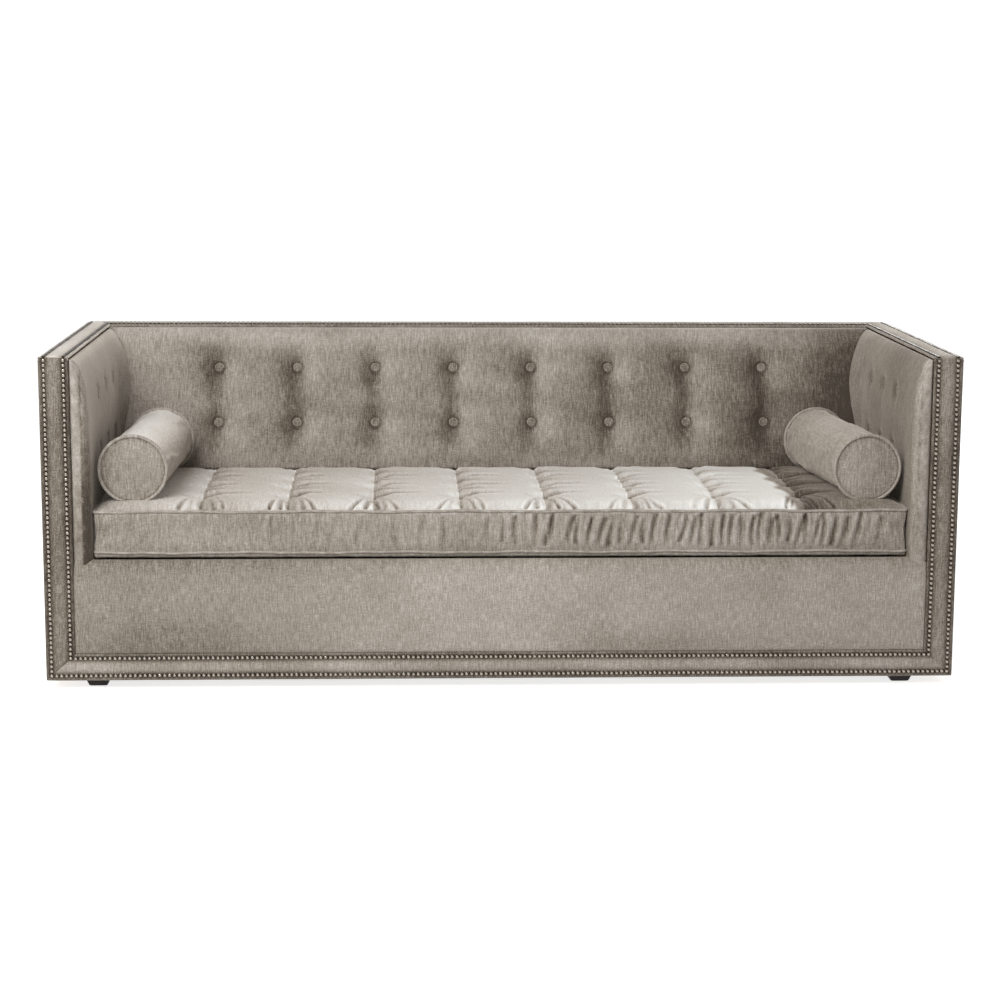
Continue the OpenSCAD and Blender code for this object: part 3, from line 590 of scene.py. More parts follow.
def cord(path, side, up, radius, sides=8):
    """Points and faces of a round cord along a closed path, with two directions across it."""
    rings = [path + radius * (math.cos(a) * side + math.sin(a) * up) for a in full_turn(sides)]
    index = np.arange(len(path) * sides).reshape(len(path), sides)
    index = np.pad(index, ((0, 1), (0, 1)), mode="wrap")
    return np.stack(rings, 1).reshape(-1, 3), quads(index.T)


def level_cord(path, radius, sides=8):
    """A cord along a closed path that runs about level."""
    along = np.roll(path, -1, 0) - np.roll(path, 1, 0)
    along /= np.linalg.norm(along, axis=1, keepdims=True)
    side = np.cross(along, (0.0, 0.0, 1.0))
    side /= np.maximum(np.linalg.norm(side, axis=1, keepdims=True), 1e-9)
    return cord(path, side, np.cross(side, along), radius, sides)


def lathe(profile, sides):
    """Points and faces of (radius, height) pairs turned about Z."""
    points = [(r * math.cos(a), r * math.sin(a), h) for r, h in profile for a in full_turn(sides)]
    return np.array(points), grid_faces(len(profile), sides, wrap=True)


def gathered(shapes):
    """Joins (points, faces) pairs into one."""
    points, faces, start = [], [], 0
    for shape_points, shape_faces in shapes:
        points.append(shape_points)
        faces.append(shape_faces + start)
        start += len(shape_points)
    return np.concatenate(points), np.concatenate(faces)


def placed(points, place, axis):
    """Points whose Z is turned to axis, moved to place."""
    turn = Vector((0, 0, 1)).rotation_difference(Vector(axis)).to_matrix()
    return points @ np.array(turn).T + np.asarray(place, float)


# Shell

def border(name, node, corners, rolls, mitres, tone, nail_shade=0.26, across="x"):
    """A padded border with a crown between its nail rows and a dip at each nail.

    mitres say whether its start and its end are seams. tone is how light it is overall, from
    its pile and painted light, and the last number is how much painted shade darkens it at the nails.
    """
    shell, nails = bpy.context.scene.shell_sizes, bpy.context.scene.nail_sizes
    outer_puff, inner_puff, dip, dip_along, dip_across = 0.0016, 0.0012, 0.0020, 0.0042, 0.0050
    seam_width, nail_shade_width = 0.003, 0.0075

    def rows(height):
        return nails.outer / BORDER * height, nails.inner / BORDER * height

    def relief(u, v, width, height):
        outer, inner = rows(height)
        lift = shell.border_crown * np.sin(math.pi * ramp(v, outer, inner - outer)) ** 0.75
        lift += outer_puff * np.sin(math.pi * ramp(v, 0, outer)) ** 0.8
        lift += inner_puff * np.sin(math.pi * ramp(v, inner, height - inner))
        from_nail = (u - NAIL_START + nails.pitch / 2) % nails.pitch - nails.pitch / 2
        for row in (outer, inner):
            lift -= dip * near(from_nail, dip_along) * near(v - row, dip_across)
        for mitre, distance in zip(mitres, (u, width - u)):
            if mitre:
                lift -= shell.seam * np.exp(-distance / seam_width)
        return lift + shell.slack * 0.6 * np.sin(u * 31 + v * 40) * np.sin(u * 13 + 1)

    def pile_lie_and_light(u, v, width, height):
        outer, inner = rows(height)
        # Painted light on the padded crown between the rows, and painted shade round the nails
        pile_tone_and_light = 0.12 * np.sin(math.pi * ramp(v, outer, inner - outer)) + tone
        for row in (outer, inner):
            pile_tone_and_light -= nail_shade * near(v - row, nail_shade_width)
        return pile_tone_and_light + 0.05 * np.sin(u * 5 + 1) * np.sin(u * 13 + v * 30)

    return stretched(name, node, corners, rolls, relief, across, pile_lie_and_light=pile_lie_and_light)


def nail_places(start, end):
    """Evenly spaced places between two points, about a nail's pitch apart."""
    start, end = np.asarray(start, float), np.asarray(end, float)
    pitch = bpy.context.scene.nail_sizes.pitch
    count = max(2, round(np.linalg.norm(end - start) / pitch) + 1)
    return [start + (end - start) * k / (count - 1) for k in range(count)]


def nail_heads(word, places, axis, rub):
    """Domed nail heads at places on the fabric, as one piece, with crowns polished by rub."""
    nails, sides = bpy.context.scene.nail_sizes, 10
    r, h = nails.head / 2, nails.proud
    profile = [(r * 0.97, -0.0012), (r, 0.0002), (r * 0.92, h * 0.45), (r * 0.70, h * 0.80),
               (r * 0.38, h * 0.96), (0.00005, h)]
    points, faces = lathe(profile, sides)
    rng = np.random.default_rng(11)
    heads = []
    for place in places:
        tilt = Vector(axis) + Vector(rng.normal(0, 0.06, 3))
        heads.append((placed(points, place, tilt.normalized()), faces))
    piece = new_piece(word + "_nails", *gathered(heads), antiqued_nickel(), "sofa", "nail_heads")
    # Polished bright at the crown; the dark rim is patina together with a painted reflection of the dark
    # fabric round it
    rim_to_crown = np.repeat([0.0, 0.02, 0.14, 0.42, 0.85, 1.0], sides)
    store(piece, "polish_and_rim_shade", rub * np.tile(rim_to_crown, len(places)))
    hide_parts(word + "_nail_rows")


class SOFA_OT_front(bpy.types.Operator):
    """Padded borders and the panel across the front"""
    bl_idname = "sofa.front"
    bl_label = "Front borders and panel"

    def execute(self, context):
        shell = context.scene.shell_sizes
        y = FRONT_Y
        right = [(HALF_W, y, BOTTOM_Z), (HALF_W, y, TOP_Z), (ARM_IN, y, TOP_Z), (ARM_IN, y, BAND_Z)]
        for (side, word), tone in zip(SIDES, (-0.31, -0.27)):
            node = word + "_front_border"
            border(node + "_fabric", node,
                   *handed(side, right, (shell.roll, shell.roll, SEWN, 0.0), (True, False)), tone=tone)
        low = [(-HALF_W, y, BOTTOM_Z), (HALF_W, y, BOTTOM_Z), (ARM_IN, y, BAND_Z), (-ARM_IN, y, BAND_Z)]
        border("bottom_border_fabric", "bottom_front_border", low, (shell.roll, 0.0, SEWN, 0.0),
               (True, True), tone=-0.13, nail_shade=0.44)
        self.panel(shell)
        return {"FINISHED"}

    def panel(self, shell):
        """The wide panel under the seat, with its roll along the top."""
        padding, seam, mitre, mitre_width, mitre_slope = 0.0032, 0.0022, 0.0018, 0.0022, 0.62

        def puff(u, v, width, height):
            edge = np.minimum(np.minimum(u, width - u), v)
            lift = padding * (1 - np.exp(-edge / 0.02)) - seam * np.exp(-edge / SEWN)
            lift += shell.slack * (np.sin(u * 9 + 2) * np.sin(v * 14 + u * 3) +
                                   0.6 * np.sin(u * 23) * np.sin(v * 9 + 1))
            # The mitre where the arm's front roll comes down on the panel's
            for inset in (u, width - u):
                line = (height - v) - shell.panel_roll + mitre_slope * inset
                beside = (inset < 0.05) & (v > height - 0.04)
                lift -= np.where(beside, mitre * np.exp(-np.abs(line) / mitre_width), 0)
            return lift

        corners = [(x, FRONT_Y, z) for x, z in (
            (-ARM_IN, BAND_Z), (ARM_IN, BAND_Z), (ARM_IN, DECK_Z), (-ARM_IN, DECK_Z))]
        piece = stretched("front_panel_fabric", "front_panel", corners,
                          (SEWN, SEWN, shell.panel_roll, SEWN), puff, step=0.008)
        points = read_points(piece, "co")
        x, _, z = points.T
        pile_tone_and_light = 0.03 * uneven(points, 0.09, 4) - 0.03 + 0.07 * near(x, 0.55)
        # Two brushed shades low on the panel, then painted shade under the seat, and the panel darker
        # towards the left
        for dark, mid_x, wide, mid_z, tall in ((0.10, 0.42, 0.20, 0.12, 0.03),
                                               (0.08, -0.85, 0.20, 0.13, 0.05)):
            pile_tone_and_light -= dark * near(x - mid_x, wide) * near(z - mid_z, tall)
        pile_tone_and_light -= 0.08 * near(z - 0.33, 0.02) + 0.09 * ramp(x, -0.15, -0.7)
        store_pile_tone_and_light(piece, pile_tone_and_light)


class SOFA_OT_caps(bpy.types.Operator):
    """Padded tops of the arms and the back"""
    bl_idname = "sofa.caps"
    bl_label = "Tops of the arms and back"

    def execute(self, context):
        roll, z = context.scene.shell_sizes.roll, TOP_Z
        right = [(HALF_W, FRONT_Y, z), (HALF_W, BACK_Y, z), (ARM_IN, CAP_Y, z), (ARM_IN, FRONT_Y, z)]
        # Painted sheen lightens the left cap; the right cap is darker
        for (side, word), tone in zip(SIDES, (0.10, -0.10)):
            node = word + "_arm_cap"
            border(node + "_fabric", node, *handed(side, right, (roll, 0.0, SEWN, roll), (False, True)),
                   tone=tone, across="y")
        inner = back_face(PAD_TOP) + 0.052
        back = [(HALF_W, BACK_Y, z), (-HALF_W, BACK_Y, z), (-ARM_IN, inner, z), (ARM_IN, inner, z)]
        border("back_cap_fabric", "back_cap", back, (roll, 0.0, 0.006, 0.0), (True, True),
               tone=-0.15)
        return {"FINISHED"}


class SOFA_OT_covers(bpy.types.Operator):
    """Fabric stretched over the outsides of the arms and the back"""
    bl_idname = "sofa.covers"
    bl_label = "Outside covers"

    def execute(self, context):
        shell = context.scene.shell_sizes
        roll, step, padding, seam = shell.roll, 0.012, 0.002, 0.001

        def taut(u, v, width, height):
            edge = np.minimum(np.minimum(u, width - u), np.minimum(v, height - v))
            lift = padding * (1 - np.exp(-edge / 0.03)) - seam * np.exp(-edge / 0.006)
            return lift + shell.slack * np.sin(u * 6 + 1) * np.sin(v * 8 + u * 2)

        low, high, front = BOTTOM_Z, TOP_Z - roll, FRONT_Y + roll
        right = [(HALF_W, front, low), (HALF_W, BACK_Y, low), (HALF_W, BACK_Y, high),
                 (HALF_W, front, high)]
        for side, word in SIDES:
            node = word + "_arm_cover"
            corners, rolls, _ = handed(side, right, (SEWN, roll, 0.0, 0.0))
            stretched(node + "_fabric", node, corners, rolls, taut, "y", step)
        half = HALF_W - roll
        back = [(x, BACK_Y, z) for x, z in ((half, low), (-half, low), (-half, high), (half, high))]
        stretched("back_cover_fabric", "back_cover", back, (SEWN, 0.0, 0.0, 0.0), taut, "x", step)
        return {"FINISHED"}


class SOFA_OT_nails(bpy.types.Operator):
    """Rows of domed nail heads round the front, the arms and the back"""
    bl_idname = "sofa.nails"
    bl_label = "Nail heads"

    def execute(self, context):
        nails = context.scene.nail_sizes
        front, arms, back = [], [], []
        for inset in (nails.outer, nails.inner):
            x, rear = HALF_W - inset, BACK_Y - inset
            z = BOTTOM_Z + inset * (BAND_Z - BOTTOM_Z) / BORDER
            for side in (LEFT, RIGHT):
                front += nail_places((side * x, FRONT_Y, TOP_Z - NAIL_START), (side * x, FRONT_Y, z))
                arms += nail_places((side * x, FRONT_Y + NAIL_START, TOP_Z), (side * x, rear, TOP_Z))
            front += nail_places((-x, FRONT_Y, z), (x, FRONT_Y, z))[1:-1]
            back += nail_places((-x, rear, TOP_Z), (x, rear, TOP_Z))[1:-1]
        nail_heads("front", front, (0, -1, 0), rub=1.0)
        nail_heads("arm", arms, (0, 0, 1), rub=0.6)
        nail_heads("back", back, (0, 0, 1), rub=0.6)
        return {"FINISHED"}


# Inner pads

def drawn_in(a, b, places, reach):
    """How strongly the nearest button pulls, from 0 to 1 at the button."""
    pull = np.zeros(np.broadcast(a, b).shape)
    for pa, pb in places:
        pull = np.maximum(pull, np.clip(1 - np.hypot(a - pa, b - pb) / reach, 0, 1) ** 2.2)
    return pull


def crease(u, v, start, end, depth, width, bow=0.0, taper=1.1):
    """Depth of a pleat from start to end, drawn on a surface with coordinates u and v.

    bow is how far it curves aside at its middle, and taper how soon it fades.
    """
    start, end = np.array(start), np.array(end)
    length = np.linalg.norm(end - start)
    along = (end - start) / length
    q = ((u - start[0]) * along[0] + (v - start[1]) * along[1]) / length
    off = (v - start[1]) * along[0] - (u - start[0]) * along[1]
    off = np.abs(off - 4 * bow * q * (1 - q))
    fade = ramp(q, 0, 0.06) * np.clip(1 - q, 0, 1) ** taper
    return depth * fade * (np.exp(-off / width) - 0.45 * near(off - 2.2 * width, width))


def close_to(a, b, places, radius):
    """Whether points lie within a radius of any of the places."""
    return np.any([np.hypot(a - pa, b - pb) < radius for pa, pb in places], axis=0)


def padded_points(piece, shape, held, foot, start, growth, cap):
    """Points and normals of a pad swelled where neither its edges nor its buttons hold it.

    foot and start are how many of its lowest rows and of its first columns are sewn down.
    """
    sewn = np.zeros(shape, bool)
    sewn[:foot] = sewn[-3:] = True
    sewn[:, :start] = sewn[:, -2:] = True
    swell(piece, sewn.ravel() | held, pressure=3.0, growth=growth, cap=cap)
    return refined(piece)


def rims(a, b, buttons):
    """1 along the rims of buttons, where painted shade darkens the velvet round them."""
    radius = bpy.context.scene.pad_sizes.button / 2
    return sum(near(np.hypot(a - pa, b - pb) - radius, 0.005) for pa, pb in buttons)


def covered_buttons(name, places, axis, node, tone=0.0):
    """Buttons covered in the velvet, with a rim and a slightly dished face."""
    r = bpy.context.scene.pad_sizes.button / 2
    profile = [(r * 0.80, -0.004), (r * 0.98, -0.001), (r, 0.0015), (r * 0.95, 0.0038),
               (r * 0.84, 0.0050), (r * 0.68, 0.0044), (r * 0.40, 0.0040), (0.0001, 0.0042)]
    sides = 28
    points, faces = lathe(profile, sides)
    shapes = [(placed(points, place, axis), faces) for place in places]
    piece = new_piece(name, *gathered(shapes), velvet("y" if abs(axis[0]) > 0.5 else "x"), "sofa",
                      "shell_velvet")
    # Painted shade in the groove round each rim, then tone lightens or darkens the whole set
    rim_to_crown = np.interp(np.arange(len(points)) / sides, [0, 3, 4, 5, 8],
                             [-0.55, -0.45, 0.02, -0.24, -0.20])
    store_pile_tone_and_light(piece, np.tile(rim_to_crown + tone, len(places)))
    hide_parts(node)


def back_face(z):
    """Where the front of the back pad stands at a height."""
    return 0.345 - 0.4 * (PAD_TOP - z)


class SOFA_OT_back_pad(bpy.types.Operator):
    """Buttoned pad of the back"""
    bl_idname = "sofa.back_pad"
    bl_label = "Back pad"

    def execute(self, context):
        pads = context.scene.pad_sizes
        thick, low, roll = 0.0517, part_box("back_pad")[0].z, 0.034
        half, button_reach, edge_share = ARM_IN - 0.0005, 0.085, 0.42
        columns = [(k - 3.5) * pads.pitch for k in range(8)]
        buttons = [(x, z) for x in columns for z in (pads.lower_row, pads.upper_row)]
        xs = np.linspace(-half, half, 245)
        turn = 1 - np.sin(np.linspace(0.3, math.pi / 2, 5))
        x, z = np.meshgrid(xs, np.concatenate([np.linspace(low, PAD_TOP - roll, 42),
                                               PAD_TOP - roll * turn]))
        dome = np.sqrt(1 - ramp(z, PAD_TOP - roll, roll) ** 2)
        depth = thick * (edge_share + (1 - edge_share) * dome)
        depth = depth - pads.pull * drawn_in(x, z, buttons, button_reach)

        def behind(level, z):
            """A row of points on the board behind the pad."""
            return np.stack(np.broadcast_arrays(xs, back_face(level) + thick, z), -1)[None]

        points = np.concatenate([
            behind(low, low), np.stack([x, back_face(z) + thick - depth, z], -1),
            behind(PAD_TOP, PAD_TOP - 0.001)])
        shape = points.shape[:2]
        piece = new_piece("back_pad_velvet", points, grid_faces(*shape), velvet("x"), "sofa",
                          "shell_velvet")
        held = close_to(points[..., 0], points[..., 2], buttons, BUTTON_HOLD).ravel()
        points, normals = padded_points(piece, shape, held, foot=2, start=2, growth=0.012,
                                        cap=pads.swell)
        self.dress(piece, points, normals, columns, buttons, half)
        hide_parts("back_pad")
        seats = []
        for bx, bz in buttons:
            under = np.hypot(points[:, 0] - bx, points[:, 2] - bz) < 0.010
            seats.append((bx, points[under, 1].mean() + 0.0012, bz))
        covered_buttons("back_buttons_velvet", seats, Vector((0, -1, 0.4)).normalized(), "back_buttons")
        return {"FINISHED"}

    def dress(self, piece, points, normals, columns, buttons, half):
        """Folds the fabric between the buttons and brushes its pile, with painted light and shade."""
        pads = bpy.context.scene.pad_sizes
        lower, upper = pads.lower_row, pads.upper_row
        x, _, z = points.T
        rng = np.random.default_rng(3)
        depth = np.zeros(len(points))
        pile_tone_and_light = 0.05 * uneven(points, 0.07, 8) + 0.04 * uneven(points * (1, 1, 3), 0.05, 9)
        # Where each fold starts and ends up the pad, the way it leans, its depth and width
        folds = ((upper - 0.012, lower - 0.010, 1, 0.0046, 0.015),
                 (lower + 0.012, upper + 0.010, -1, 0.0036, 0.015),
                 (lower - 0.012, lower - 0.085, 1, 0.0040, 0.014),
                 (upper + 0.012, upper + 0.060, -1, 0.0018, 0.008))
        for bx in columns:
            lean = rng.uniform(-0.006, 0.006)
            for start, end, way, deep, wide in folds:
                depth += crease(z, x, (start, bx), (end, bx + way * lean), depth=deep, width=wide)
            # Painted shade on each dimple's left side and painted light on its right, and painted shade
            # down each column between its buttons
            for bz, dark in ((lower, 0.192), (upper, 0.24)):
                pile_tone_and_light -= dark * near(x - bx + 0.022, 0.030) * near(z - bz + 0.012, 0.050)
                pile_tone_and_light += 0.10 * near(x - bx - 0.040, 0.030) * near(z - bz + 0.010, 0.05)
            pile_tone_and_light -= 0.12 * near(x - bx + 0.004, 0.020) * near(z - 0.65, 0.08)
        # The pad lies in the arm's shadow on the right, and its top catches the light
        pile_tone_and_light -= 0.20 * ramp(x, 0.20, 0.8) * ramp(z, 0.82, -0.15) + 0.38 * ramp(x, 0.89, 0.17)
        pile_tone_and_light -= 0.12 * ramp(x, 0.62, 0.2) * ramp(z, 0.62, -0.08)
        pile_tone_and_light += 0.12 * ramp(z, 0.79, 0.04) - 0.10
        # Painted shade round the button rims and in the corners against the arms
        pile_tone_and_light -= 0.26 * rims(x, z, buttons) + 0.34 * near(half - np.abs(x), 0.014)
        move_to(piece, points - normals * depth[:, None])
        store_pile_tone_and_light(piece, pile_tone_and_light)


class SOFA_OT_arm_pads(bpy.types.Operator):
    """Buttoned pads inside the arms"""
    bl_idname = "sofa.arm_pads"
    bl_label = "Arm pads"

    # How much painted shade darkens a pad in its low part, in its seam and all over, how much of
    # the last it loses towards the rear, and the tones of painted light on its front strip and roll
    PAD_SHADE_AND_LIGHT = {LEFT: (0.40, 0.25, 0.0, 0.0, 0.05, -0.06), RIGHT: (0.04, 0.10, 0.22, 0.18, 0.26, 0.24)}

    def execute(self, context):
        pads = context.scene.pad_sizes
        columns = [-pads.arm_mid + k * pads.arm_pitch for k in (-1, 0, 1)]
        for side, word in SIDES:
            self.pad(side, word, columns, pads)
        return {"FINISHED"}

    def surface(self, wall, buttons, pull):
        """Rows of points of the right pad, from its foot to its top and from front to rear."""
        full, thin, bend, top_roll, edge_share = wall - PAD_FACE, 0.015, 0.60, 0.02, 0.45
        front_roll, bulge, button_reach = 0.028, 0.030, 0.045
        z = np.concatenate([
            np.linspace(DECK_Z, PAD_TOP - top_roll, 56),
            PAD_TOP - top_roll * (1 - np.sin(np.linspace(0.25, math.pi / 2, 5)))])[:, None]
        up = np.maximum(0.0, z - bend) / (PAD_TOP - bend)
        base = thin + (full - thin) * (1 - up ** 4)
        dome = np.sqrt(1 - ramp(z, PAD_TOP - top_roll, top_roll) ** 2)
        base = base * (edge_share + (1 - edge_share) * dome)
        roll, rear, flat = np.minimum(front_roll, base), back_face(z) - 0.001, np.zeros_like(z)
        turn = np.linspace(0, math.pi / 2, 7)[1:]
        columns = np.linspace(0.008 / 0.758, 1, 84)
        y = PAD_FRONT + roll + (rear - PAD_FRONT - roll) * columns
        # The padding bulges where it meets the back pad
        ease = ramp(y, 0.19, 0.10)
        corner = bulge * ease * ease * (3 - 2 * ease) * ramp(z, 0.46, 0.05) * (1 - up ** 2)
        sunk = np.concatenate([flat, flat + 0.003, base - roll + roll * np.sin(turn), base + corner,
                               flat], 1)
        ys = np.concatenate([flat + PAD_FRONT + 0.010, flat + PAD_FRONT + 0.002,
                             PAD_FRONT + roll * (1 - np.cos(turn)), y, rear], 1)
        grid = np.stack(np.broadcast_arrays(wall - sunk, ys, z), -1)
        dent = drawn_in(grid[..., 1], grid[..., 2], buttons, button_reach)
        # No button pulls at the front roll and its first column
        dent[:, :len(turn) + 3] = 0
        grid[..., 0] += 0.55 * pull * dent * (grid[..., 0] < wall - 0.02)
        # The front roll runs down to the mitre on the front panel
        drop = ramp(grid[..., 0], PAD_FACE, full) * (np.abs(grid[..., 1] - PAD_FRONT) < 0.02)
        grid[..., 2] -= 0.026 * drop * np.clip(1 - (grid[..., 2] - DECK_Z) / 0.05, 0, 1)
        top = grid[-1:].copy()
        top[..., 0] = wall
        top[..., 2] -= 0.002
        return np.concatenate([grid, top])

    def pad(self, side, word, columns, pads):
        """One arm's pad with its buttons."""
        wall = ARM_IN - 0.0004
        buttons = [(y, z) for y in columns for z in (pads.lower_row, pads.upper_row)]
        grid = self.surface(wall, buttons, pads.pull)
        grid[..., 0] *= side
        shape = grid.shape[:2]
        faces = grid_faces(*shape)
        piece = new_piece(word + "_arm_pad_velvet", grid, faces[:, ::-1] if side == RIGHT else faces,
                          velvet("y"), "sofa", "shell_velvet")
        held = close_to(grid[..., 1], grid[..., 2], buttons, BUTTON_HOLD).ravel()
        points, normals = padded_points(piece, shape, held, foot=1, start=4, growth=0.006,
                                        cap=pads.swell * 0.45)
        x, y, z = points.T
        sunk = wall - np.abs(x)
        inner = sunk > 0.02
        # A seam beside the front roll, and soft pulls between the buttons
        strip, seam_at = (y < PAD_FRONT + 0.012) * (sunk < 0.05), 0.026
        depth = 0.0026 * np.exp(-np.abs(sunk - seam_at) / 0.002) * strip
        for by in columns:
            depth += inner * crease(z, y, (pads.upper_row - 0.01, by), (pads.lower_row, by),
                                    depth=0.0012, width=0.016)
        move_to(piece, points - normals * depth[:, None])
        low_dark, seam_dark, dark, rear_loss, strip_tone, roll_tone = self.PAD_SHADE_AND_LIGHT[side]
        turned = ramp(y, PAD_FRONT + 0.034, -0.02)
        band = turned * ramp(sunk, 0.030, -0.006)
        # Painted shade low down, in the seam and all over, painted light on the front strip and roll,
        # and painted shade in the crease at the back pad and round the button rims
        pile_tone_and_light = 0.05 * uneven(points, 0.06, 5 + side) - 0.04
        pile_tone_and_light -= dark - rear_loss * ramp(y, -0.15, 0.4)
        pile_tone_and_light -= low_dark * ramp(z, 0.68, -0.20) * (1 - 0.8 * band)
        pile_tone_and_light += turned * np.where(sunk < 0.025, strip_tone, roll_tone)
        pile_tone_and_light -= strip * seam_dark * near(sunk - seam_at, 0.0022)
        pile_tone_and_light -= 0.30 * near(back_face(z) - 0.001 - y, 0.007) + 0.22 * inner * rims(y, z, buttons)
        store_pile_tone_and_light(piece, pile_tone_and_light)
        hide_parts(word + "_arm_pad")
        seats = []
        for by, bz in buttons:
            under = (np.hypot(y - by, z - bz) < 0.010) & inner
            seats.append((x[under].mean() + side * 0.001, by, bz))
        # Painted highlight on the left arm's buttons, a darker tone on the right arm's
        covered_buttons(word + "_arm_buttons_velvet", seats, (-side, 0, 0), word + "_arm_buttons",
                        0.04 - 0.10 * side)


# Seat cushion

class SOFA_OT_cushion(bpy.types.Operator):
    """Tufted bench cushion with its pleats, wrinkles and welts"""
    bl_idname = "sofa.cushion"
    bl_label = "Seat cushion"

    # Loops of points down the box band, the last of them at the lower welt
    BAND_LOOPS = 11

    def execute(self, context):
        cushion, pads = context.scene.cushion_sizes, context.scene.pad_sizes
        half, front, rear = CUSHION_HIGH.x, CUSHION_LOW.y, CUSHION_HIGH.y
        upper, lower, floor = cushion.upper_welt, cushion.lower_welt, CUSHION_LOW.z
        crown, rear_lift, valley_depth, tuft_reach = 0.021, 0.006, 0.007, 0.050
        columns = [(k - 3.5) * pads.pitch for k in range(8)]
        lines = [(front + rear) / 2 + 0.023 + (k - 1.5) * cushion.row_pitch for k in range(4)]
        tufts = [(cx, cy) for cx in columns for cy in lines]
        x, y = np.meshgrid(np.linspace(-half, half, 300), np.linspace(front, rear, 84))
        rise = (1 - np.exp((np.abs(x) - half) / 0.030)) * (
            1 - np.exp(-np.minimum(y - front, rear - y) / 0.026))
        valley = np.max([np.exp(-np.abs(x - cx) / 0.009) for cx in columns], axis=0)
        z = upper + crown * rise + rear_lift * np.exp((y - rear) / 0.02)
        z -= rise * (valley_depth * valley + 0.7 * cushion.tuft * drawn_in(x, y, tufts, tuft_reach))
        top = np.stack([x, y, z], -1).reshape(-1, 3)
        rows, count = x.shape, len(top)
        loop = border_loop(*rows)
        n = len(loop)
        rings = self.sides(top[loop], half, front, rear, upper, lower, floor)
        loops = [loop, *(count + k * n + np.arange(n) for k in range(len(rings)))]
        # The flat underside runs in one row between its front and rear edges
        last, (deep, wide) = loops[-1], rows
        under = quads(np.array([last[:wide], last[wide + deep - 2: 2 * wide + deep - 2][::-1]]))
        points = np.concatenate([top, *rings])
        piece = new_piece("seat_cushion_velvet", points,
                          np.concatenate([grid_faces(*rows), walls(loops), under[:, ::-1]]),
                          velvet("x"), "cushion", "cushion_velvet")
        # Both welts, the underside and the tufts are sewn down
        held = np.zeros(len(points), bool)
        held[:count] = close_to(top[:, 0], top[:, 1], tufts, TUFT_HOLD)
        for sewn in (loop, loops[self.BAND_LOOPS], last):
            held[sewn] = True
        swell(piece, held, pressure=4.0, growth=0.022, cap=cushion.swell)
        points, normals = refined(piece)
        x, y, z = points.T
        on_top = np.clip((normals[:, 2] - 0.25) * 3, 0, 1) * (z > upper - 0.012)
        on_front = np.clip((-normals[:, 1] - 0.5) * 4, 0, 1) * (y < front + 0.03)
        depth = on_top * self.pleats(x, y, columns, lines, cushion.pleat, front, rear)
        depth += on_front * self.wrinkles(x, z, cushion)
        points = points - normals * depth[:, None]
        points[:, 2] = np.maximum(points[:, 2], floor)
        move_to(piece, points)
        z = points[:, 2]
        # Painted light on the top, rising towards the right, and the top darker past a line near the
        # right end
        dark_patch_from = 0.742 - 0.022 * (y - front) / (rear - front) - 0.012 * np.sin(y * 44)
        pile_tone_and_light = 0.04 * uneven(points, 0.06, 21)
        pile_tone_and_light += on_top * (0.22 + 0.18 * x - 0.66 * ramp(x, dark_patch_from, 0.02))
        # Each tile starts dark beside its tufts and brightens towards the next column, as painted shade
        # and painted light over the pile's tone
        along = np.clip((x - columns[0]) / pads.pitch, -1.0, len(columns) - 0.001)
        tile = along % 1.0
        pile_tone_and_light += on_top * (0.13 * tile - 0.24 * np.exp(-tile / 0.14) * (along > 0))
        # Painted light on the lip under the lower welt, painted shade in the pleats and wrinkles with
        # painted highlights on their ridges, and painted shade on the front band, deeper towards its
        # ends
        pile_tone_and_light += 0.03 * ramp(z, lower, -0.004)
        pile_tone_and_light -= (58.0 * on_front + 52.0 * on_top) * np.clip(depth, -0.001, 0.009)
        pile_tone_and_light -= on_front * (0.03 + 0.04 * ramp(x, 0, -0.5) + 0.05 * ramp(x, 0.4, 0.5))
        store_pile_tone_and_light(piece, pile_tone_and_light)
        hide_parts("seat_cushion")
        self.welts(cushion, half, front, rear)
        return {"FINISHED"}

    def sides(self, ring, half, front, rear, upper, lower, floor):
        """Loops of points down the box band from the edge of the top, and under it."""
        x, y = ring[:, 0], ring[:, 1]
        outward = np.stack([np.where(np.abs(x) > half - 1e-6, np.sign(x), 0),
                            1.0 * (y > rear - 1e-6) - (y < front + 1e-6)], -1)
        loops = []
        for t in np.arange(1, self.BAND_LOOPS + 1) / self.BAND_LOOPS:
            waist = math.sin(math.pi * t)
            level = ring.copy()
            level[:, 2] = upper + (lower - upper) * t
            level[:, :2] -= outward * 0.003 * waist
            level[:, 1] += np.where(outward[:, 1] > 0, 0.009 * waist ** 0.5, 0)
            loops.append(level)
        for inset, fall in ((-0.001, 0.45), (0.001, 0.90), (0.030, 1.0)):
            level = ring.copy()
            level[:, 2] = lower + (floor - lower) * fall
            level[:, :2] -= outward * inset
            loops.append(level)
        return loops

